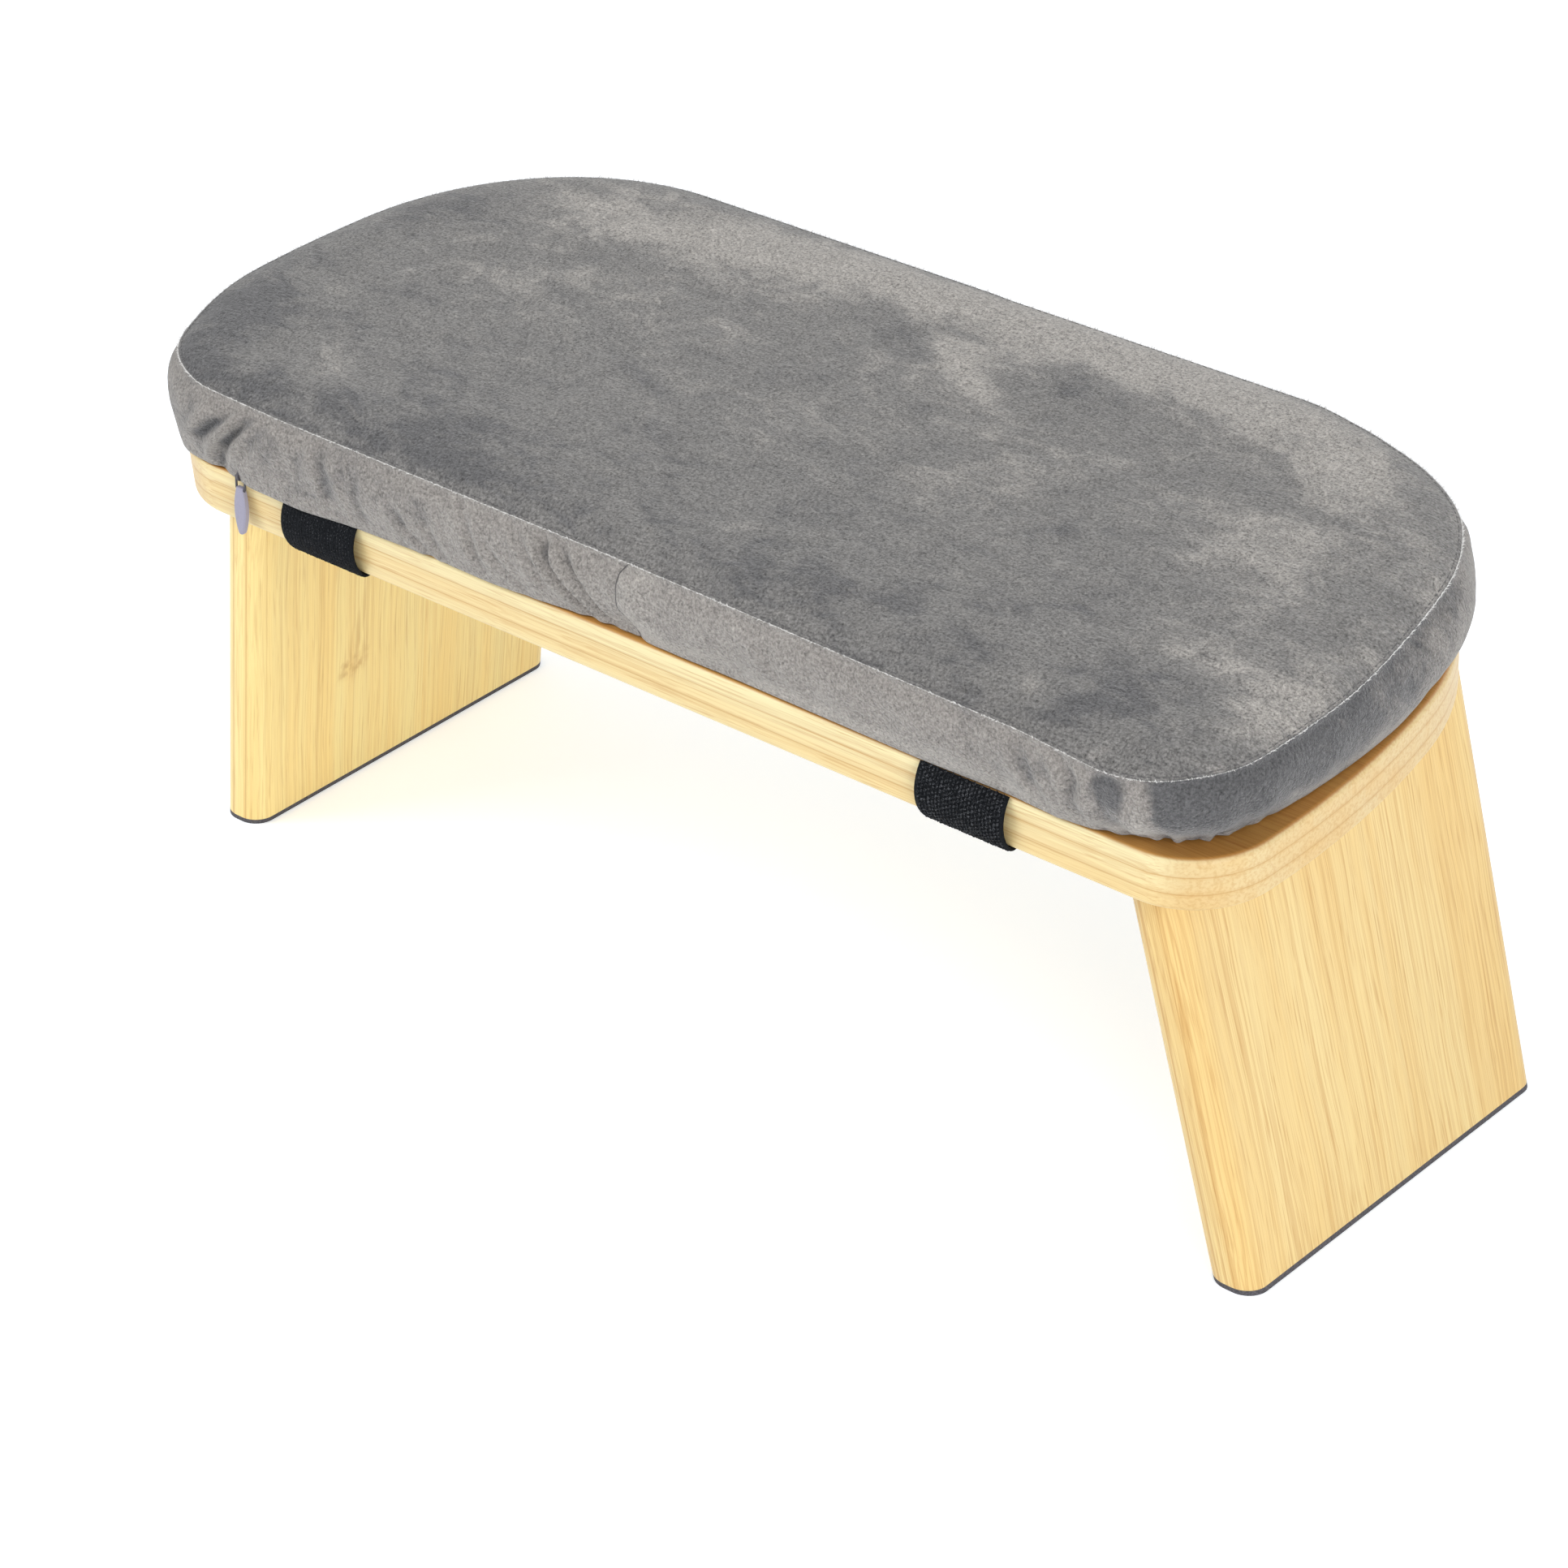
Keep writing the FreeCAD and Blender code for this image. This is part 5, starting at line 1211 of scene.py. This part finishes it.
def swept(name, path, facings, section, across, smooth=True):
    """A closed section swept along a path. Its points are given across the path and along the facing."""
    points = []
    for point, facing in zip(path, facings):
        points += [Vector(point) + Vector(across) * side + Vector(facing) * out for side, out in section]
    count = len(section)
    faces = [tuple(range(count)), tuple(range(len(points) - 1, len(points) - 1 - count, -1))]
    for low in range(0, len(points) - count, count):
        for index in range(count):
            after = (index + 1) % count
            faces.append((low + index, low + after, low + count + after, low + count + index))
    piece = new_piece(name, points, faces, smooth=smooth)
    work = bmesh.new()
    work.from_mesh(piece.data)
    bmesh.ops.recalc_face_normals(work, faces=work.faces)
    work.to_mesh(piece.data)
    work.free()
    return piece


def elastic(name, strap, yarn_highlight_share):
    """Woven elastic: near-black yarn with a few paler threads, and a painted highlight on its raised yarns.
    """
    material, tree, shader = new_material(name, Roughness=0.85, Specular_IOR_Level=0.14)
    spots = coordinates(tree)
    fuzz = noise(spots, 1900.0, 3.0, 0.65)
    worn = remap(noise(spots, 160.0, 3.0), 0.40, 0.65)
    # Painted highlight: the share of paler thread colour brightens the raised yarns
    share = remap(fuzz, 0.45, 0.70) * (worn * 0.5 + 0.5) * yarn_highlight_share
    tree.links.new(blended(tree, share, strap.colour, strap.thread_colour), shader.inputs["Base Color"])
    across = Value(add(tree, "ShaderNodeSeparateXYZ", {0: coordinates(tree, "UV")}).outputs[0])
    ribs = maths("SINE", across * (2 * math.pi / strap.rib_pitch))
    bumped(tree, shader, ribs * 0.25 + fuzz, 0.00022, 0.9)
    return material


def path_after(path, facings, start):
    """The rest of a path after a distance along it."""
    run = 0.0
    for number in range(1, len(path)):
        span = (Vector(path[number]) - Vector(path[number - 1])).length
        if run + span > start:
            share = (start - run) / span
            first = Vector(path[number - 1]).lerp(Vector(path[number]), share)
            return [tuple(first)] + list(path[number:]), [facings[number]] + list(facings[number:])
        run += span
    return [], []


def make_strap(node, strap, tree, slant, yarn, yarn_highlight_share):
    """A strap's band and the raised yarns woven into it, their rows slanted by a share of the pitch."""
    path, facings = strap_path(node)
    material = elastic(node + "_weave", strap, 0.22)
    band = ribbon(node + "_band", path, facings, strap.width, strap.thickness)
    band.data.materials.append(material)
    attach(band, "seat")
    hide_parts(node)
    raised = elastic(node + "_yarn", strap, yarn_highlight_share)
    usable = strap.width - 2 * strap.thickness
    columns = int(usable / strap.row_pitch)
    gap = usable / columns
    points, edges, ways = [], [], []
    for column in range(columns):
        across = (column + 0.5) * gap - usable / 2
        lift = strap.thickness / 2
        line = [Vector(p) + Vector(f) * lift + Vector((across, 0, 0)) for p, f in zip(path, facings)]
        start = 0.0005 + (column * slant % 1.0) * strap.stitch_pitch
        line, ways_here = path_after(line, facings, start)
        edges += [(len(points) + index, len(points) + index + 1) for index in range(len(line) - 1)]
        points += line
        ways += ways_here
    shape = helper_shape(node + "_yarn_shape", *bar(*yarn, 3, 0.7))
    shape.data.transform(Matrix.Rotation(math.pi / 2 - slant * 0.9, 4, "Z"))
    name = node + "_yarns"
    pitch = strap.stitch_pitch
    yarns = repeat_along(name, tree, points, ways, shape, raised, pitch, 0.12, 0.15, 7, edges=edges)
    yarns.data.shade_smooth()
    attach(yarns, "seat")


# Zipper

def zipper_path(growth, height):
    """The chain's line from the slider in front, round the cushion's left end, to the same x at the back."""
    low, _ = seat_box("zipper_slider")
    shift = bpy.context.scene.bench_cushion.shift
    under_slider, steps = 0.004, 360
    start = low.x + shift + under_slider
    path, facings = [], []
    for index in range(1, steps):
        x, y, out_x, out_y = OUTLINE.at(-2 * OUTLINE.half * index / steps)
        if x <= start:
            path.append((x + out_x * growth - shift, y + out_y * growth, height))
            facings.append((out_x, out_y, 0.0))
    return path, facings


def make_zipper(zipper, cushion, tree):
    foot = cushion.overhang - cushion.foot_inset
    height = BOARD_TOP + cushion.lift + zipper.rise
    thickness, gap = zipper.tape_thickness, 0.0003
    tape = mottled("zipper_tape_weave", zipper.tape_colour, (1.0, 0.6), (1800.0,), relief=0.0002,
                   Roughness=0.85, Specular_IOR_Level=0.25)
    path, facings = zipper_path(foot + gap + thickness / 2, height)
    up, out = zipper.tape_height / 2, thickness / 2
    section = ((-up, -out), (-up, out), (up, out), (up, -out))
    band = swept("zipper_tape_strip", path, facings, section, (0, 0, 1), smooth=False)
    band.data.materials.append(tape)
    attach(band, "seat")
    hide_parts("zipper_chain")
    path, facings = zipper_path(foot + gap + thickness, height)
    tooth_width, tooth_radius = 0.0024, 0.0005
    shape = helper_shape("zipper_tooth", *bar(tooth_width, tooth_radius, 4, 1.4))
    teeth = repeat_along("zipper_teeth", tree, path, facings, shape, tape, zipper.tooth_pitch)
    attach(teeth, "seat")


def dress_pull(zipper):
    metal = mottled("painted_zipper_metal", zipper.metal_colour, (1.0, 2.2), (500.0, 3.0), (0.55, 0.75),
                    rough=(0.2, 0.32), Metallic=0.6, Coat_Weight=0.3)
    moulded = mottled("moulded_pull_tab", zipper.tab_colour, (1.0, 1.18), (1500.0,), rough=(0.15, 0.45),
                      relief=0.00006, Specular_IOR_Level=0.4)
    dress("zipper_slider", metal)
    dress("zipper_pull_bail", metal)
    dress("zipper_pull_tab", moulded)


def dress(node, material):
    """Give a CAD node that stays visible its material."""
    mesh = frame["nodes"][node].data
    mesh.materials.clear()
    mesh.materials.append(material)


# Hinges, screws and pads

def brushed_steel(name, colour, roughness):
    return mottled(name, colour, (0.72, 1.0), ((900.0, 60.0, 900.0), 3.0), rough=(0.2, roughness),
                   relief=0.00003, Metallic=1.0)


def screw_spots(node):
    """(middle of the head's face, direction into the wood) of each screw in a CAD node of screws."""
    work = bmesh.new()
    work.from_mesh(frame["nodes"][node].data)
    bmesh.ops.remove_doubles(work, verts=work.verts, dist=1e-6)
    work.verts.ensure_lookup_table()
    seen, spots = set(), []
    for start in work.verts:
        if start.index in seen:
            continue
        stack, island = [start], []
        seen.add(start.index)
        while stack:
            vertex = stack.pop()
            island.append(vertex.co.copy())
            for edge in vertex.link_edges:
                other = edge.other_vert(vertex)
                if other.index not in seen:
                    seen.add(other.index)
                    stack.append(other)
        points = np.array(island)
        centre = points.mean(0)
        axis = np.linalg.svd(points - centre)[2][0]
        reach = (points - centre) @ axis
        radius = np.linalg.norm(points - centre - np.outer(reach, axis), axis=1)
        if radius[reach > reach.mean()].max() < radius[reach < reach.mean()].max():
            axis, reach = -axis, -reach
        # The axis now points from the tip to the head
        spots.append((Vector(centre + axis * reach.max()), Vector(-axis)))
    work.free()
    return spots


def screw_head(radius):
    """A countersunk head with a cross recess, its face on the XY plane and its shank down -Z."""
    work = bmesh.new()
    sides = 32
    slot_half, slot_reach, slot_depth = radius * 0.14, radius * 0.62, radius * 0.45
    cross = []
    for quarter in range(4):
        turn = Matrix.Rotation(quarter * math.pi / 2, 3, "Z")
        for x, y in ((slot_reach, -slot_half), (slot_reach, slot_half), (slot_half, slot_half)):
            cross.append(turn @ Vector((x, y, 0)))
    top = [work.verts.new(point) for point in cross]
    floor = [work.verts.new(Vector((p.x * 0.55, p.y * 0.55, -slot_depth))) for p in cross]
    rims = []
    turns = [2 * math.pi * index / sides for index in range(sides)]
    # The head's flat, its chamfer, the end of its cone and the shank's end, as shares of the head's radius
    for share, depth in ((0.94, 0.0), (1.0, 0.05), (0.5, 0.5), (0.5, 4.0)):
        reach, height = radius * share, -radius * depth
        rim = [(reach * math.cos(turn), reach * math.sin(turn), height) for turn in turns]
        rims.append([work.verts.new(point) for point in rim])
    for low, high in zip(rims, rims[1:]):
        for index in range(sides):
            after = (index + 1) % sides
            work.faces.new((low[index], high[index], high[after], low[after]))
    work.faces.new(rims[-1][::-1])
    count = len(top)
    for index in range(count):
        after = (index + 1) % count
        work.faces.new((top[index], top[after], floor[after], floor[index]))
    work.faces.new(floor)
    edges = [work.edges.get((rims[0][i], rims[0][(i + 1) % sides])) for i in range(sides)]
    edges += [work.edges.get((top[i], top[(i + 1) % count])) for i in range(count)]
    bmesh.ops.triangle_fill(work, use_beauty=True, edges=edges)
    bmesh.ops.recalc_face_normals(work, faces=work.faces)
    mesh = bpy.data.meshes.new("screw_head")
    work.to_mesh(mesh)
    work.free()
    shape = bpy.data.objects.new("screw_head", mesh)
    bpy.context.scene.collection.objects.link(shape)
    return shape


def make_screws(name, body, nodes, tree, material, radius, seed):
    points, facings = [], []
    for node in nodes:
        for spot, inwards in screw_spots(node):
            points.append(spot)
            facings.append(-inwards)
    made = repeat_along(name, tree, points, facings, screw_head(radius), material, turn_spread=1.5, seed=seed,
                        place=WHOLE, edges=[])
    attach(made, body)
    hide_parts(*nodes)


# Stage

def seen_rays(tree, *kinds):
    """1 for the kinds of ray in which a surface is seen, and 0 for others."""
    rays = tree.nodes.new("ShaderNodeLightPath").outputs
    first, *rest = (Value(rays[f"Is {kind} Ray"]) for kind in kinds)
    for ray in rest:
        first = maths("MAXIMUM", first, ray)
    return first


def make_stage(stage):
    material, tree, shader = new_material(
        "pale_floor", Base_Color=(0.89, 0.905, 0.925, 1.0), Emission_Color=(0.87, 0.935, 1.0, 1.0),
        Roughness=0.9, Specular_IOR_Level=0.1)
    glow, reach = 0.42, 6.0
    join(tree, seen_rays(tree, "Camera", "Glossy") * glow, shader.inputs["Emission Strength"])
    corners = [(-reach, -reach, 0), (reach, -reach, 0), (reach, reach, 0), (-reach, reach, 0)]
    floor = new_piece("floor", corners, [(0, 1, 2, 3)], WHOLE, smooth=False)
    floor.data.materials.append(material)

    world = bpy.data.worlds.new("studio")
    bpy.context.scene.world = world
    world.use_nodes = True
    tree = world.node_tree
    background = tree.nodes["Background"]
    seen, fill = seen_rays(tree, "Camera", "Glossy", "Transmission"), 0.62
    join(tree, remap(seen, 0.0, 1.0, fill, 1.0), background.inputs["Strength"])
    background.inputs["Color"].default_value = (1.0, 1.0, 1.0, 1.0)

    target = Vector((0.0, 0.0, 0.15))
    lamps = (
        ("key_light", (-1.1, -1.5, 1.9), 1.1, 26.0),
        ("side_light", (1.9, -0.7, 1.1), 1.2, 5.0),
        ("back_light", (0.3, 1.8, 1.7), 1.2, 8.0),
        ("low_light", (1.8, -1.1, 0.20), 0.9, 17.5),
    )
    for name, spot, size, power in lamps:
        light = bpy.data.lights.new(name, "AREA")
        light.size = size
        light.energy = power
        lamp = bpy.data.objects.new(name, light)
        lamp.location = spot
        lamp.rotation_euler = (target - Vector(spot)).to_track_quat("-Z", "Y").to_euler()
        bpy.context.scene.collection.objects.link(lamp)

    camera = bpy.data.cameras.new("camera")
    camera.sensor_width = 36.0
    camera.lens = stage.lens
    holder = bpy.data.objects.new("camera", camera)
    holder.location = stage.camera_place
    holder.rotation_euler = Euler(stage.camera_turn, "XYZ")
    bpy.context.scene.collection.objects.link(holder)
    bpy.context.scene.camera = holder
    bpy.context.scene.view_settings.view_transform = "Standard"


# Operators

class BENCH_OT_wood(bpy.types.Operator):
    """Give the seat board and both legs their bamboo."""
    bl_idname = "bench.wood"
    bl_label = "Bamboo board and legs"

    def execute(self, context):
        wood = context.scene.bench_wood
        group = bamboo_group()
        board = {
            # The board's top face colour is painted shade under the cushion
            "Pale": wood.board_pale, "Amber": wood.board_amber, "Top Shade": wood.face,
            "Thickness": BOARD_TOP, "Seed": 3.0, "Contrast": 0.30, "Lines": 0.55,
        }
        dress("seat_board", bamboo("board_bamboo", group, SEAT, board))
        knuckle = {"Knuckle": 1.0, "Knuckle Along": -0.104, "Knuckle Across": -0.033}
        looks = {
            "right": {"Seed": 11.0, "Contrast": 0.12, "Lines": 0.80},
            "left": {"Seed": 17.0, "Contrast": 0.50, "Lines": 0.40, **knuckle},
        }
        for side in LEGS:
            matrix, thickness = leg_frame(side)
            pale, amber = (getattr(wood, f"{side}_leg_{shade}") for shade in ("pale", "amber"))
            values = {"Pale": pale, "Amber": amber, "Thickness": thickness, **looks[side]}
            dress(side + "_leg_panel", bamboo(side + "_leg_bamboo", group, matrix, values))
        return {"FINISHED"}


class BENCH_OT_cushion(bpy.types.Operator):
    """Make the plush cushion with its crown, belly, folds and seams."""
    bl_idname = "bench.cushion"
    bl_label = "Plush cushion"

    def execute(self, context):
        cushion = context.scene.bench_cushion
        group, dark = plush_group(), cushion.shaded_colour
        top = plush("top_plush", group, cushion.top_colour, cushion.brushed_and_lit_colour, dark, 14.0, 0.92, 1.9)
        brushed_and_lit = cushion.side_brushed_and_lit_colour
        side = plush("side_plush", group, cushion.side_colour_with_front_light, brushed_and_lit, dark, 17.0, 0.55, 1.5)
        base = plush("base_cloth", group, dark, dark, dark, 14.0, 0.2, 0.6)
        sew_cushion(make_cushion(cushion, (top, side, base)), cushion, repeat_tree())
        return {"FINISHED"}


class BENCH_OT_straps(bpy.types.Operator):
    """Make the two elastic straps with their woven yarns."""
    bl_idname = "bench.straps"
    bl_label = "Elastic straps"

    def execute(self, context):
        strap = context.scene.bench_strap
        tree = repeat_tree()
        make_strap("left_elastic_strap", strap, tree, 0.0, (0.0012, 0.00026), 0.95)
        make_strap("right_elastic_strap", strap, tree, 0.5, (0.0013, 0.00050), 1.7)
        return {"FINISHED"}


class BENCH_OT_zipper(bpy.types.Operator):
    """Make the zipper's tape and teeth, and finish its slider and pull."""
    bl_idname = "bench.zipper"
    bl_label = "Zipper"

    def execute(self, context):
        make_zipper(context.scene.bench_zipper, context.scene.bench_cushion, repeat_tree())
        dress_pull(context.scene.bench_zipper)
        return {"FINISHED"}


class BENCH_OT_hardware(bpy.types.Operator):
    """Finish the hinges and foot pads, and make the screws with their cross recesses."""
    bl_idname = "bench.hardware"
    bl_label = "Hinges, screws and pads"

    def execute(self, context):
        hardware = context.scene.bench_hardware
        leaf = brushed_steel("hinge_leaf_steel", hardware.steel, 0.28)
        pin = brushed_steel("hinge_pin_steel", hardware.steel, 0.18)
        head = brushed_steel("screw_head_steel", hardware.steel, 0.22)
        pad = mottled("foot_pad_rubber", hardware.rubber, (0.55, 1.0), (1300.0, 3.0, 0.7), (0.35, 0.65),
                      relief=0.0004, Roughness=0.85, Specular_IOR_Level=0.25)
        tree, radius = screw_tree(), hardware.head_radius
        seat_nodes = []
        for number, side in enumerate(LEGS):
            dress(side + "_foot_pad", pad)
            leg_nodes = []
            for where in HINGES:
                hinge = f"{side}_{where}_hinge_"
                dress(hinge + "seat_leaf", leaf)
                dress(hinge + "leg_leaf", leaf)
                dress(hinge + "pin", pin)
                seat_nodes.append(hinge + "seat_screws")
                leg_nodes.append(hinge + "leg_screws")
            make_screws(side + "_leg_screws", side + "_leg", leg_nodes, tree, head, radius, 5 + number)
        make_screws("seat_screws", "seat", seat_nodes, tree, head, radius, 9)
        return {"FINISHED"}


class BENCH_OT_stage(bpy.types.Operator):
    """Set up the floor, the lights, the world and the camera."""
    bl_idname = "bench.stage"
    bl_label = "Stage"

    def execute(self, context):
        make_stage(context.scene.bench_stage)
        return {"FINISHED"}


OPERATORS = (
    BENCH_OT_stage,
    BENCH_OT_wood,
    BENCH_OT_cushion,
    BENCH_OT_straps,
    BENCH_OT_zipper,
    BENCH_OT_hardware,
)
SETTINGS = {
    "bench_cushion": CushionSettings,
    "bench_strap": StrapSettings,
    "bench_zipper": ZipperSettings,
    "bench_wood": WoodSettings,
    "bench_hardware": HardwareSettings,
    "bench_stage": StageSettings,
}


class BENCH_PT_panel(bpy.types.Panel):
    """The bench's pieces, in the order in which they are made."""
    bl_label = "Meditation bench"
    bl_idname = "BENCH_PT_panel"
    bl_space_type = "VIEW_3D"
    bl_region_type = "UI"
    bl_category = "Bench"

    def draw(self, context):
        for operator in OPERATORS:
            self.layout.operator(operator.bl_idname)
        for name, group in SETTINGS.items():
            column = self.layout.column()
            column.label(text=group.__doc__)
            for label in group.__annotations__:
                column.prop(getattr(context.scene, name), label)


def register():
    for group in (*SETTINGS.values(), *OPERATORS, BENCH_PT_panel):
        bpy.utils.register_class(group)
    for name, group in SETTINGS.items():
        setattr(bpy.types.Scene, name, PointerProperty(type=group))


def unregister():
    for name in SETTINGS:
        delattr(bpy.types.Scene, name)
    for group in reversed((*SETTINGS.values(), *OPERATORS, BENCH_PT_panel)):
        bpy.utils.unregister_class(group)


def main():
    register()
    bpy.ops.bench.stage()
    bpy.ops.bench.wood()
    bpy.ops.bench.cushion()
    bpy.ops.bench.straps()
    bpy.ops.bench.zipper()
    bpy.ops.bench.hardware()


if __name__ == "__main__":
    main()
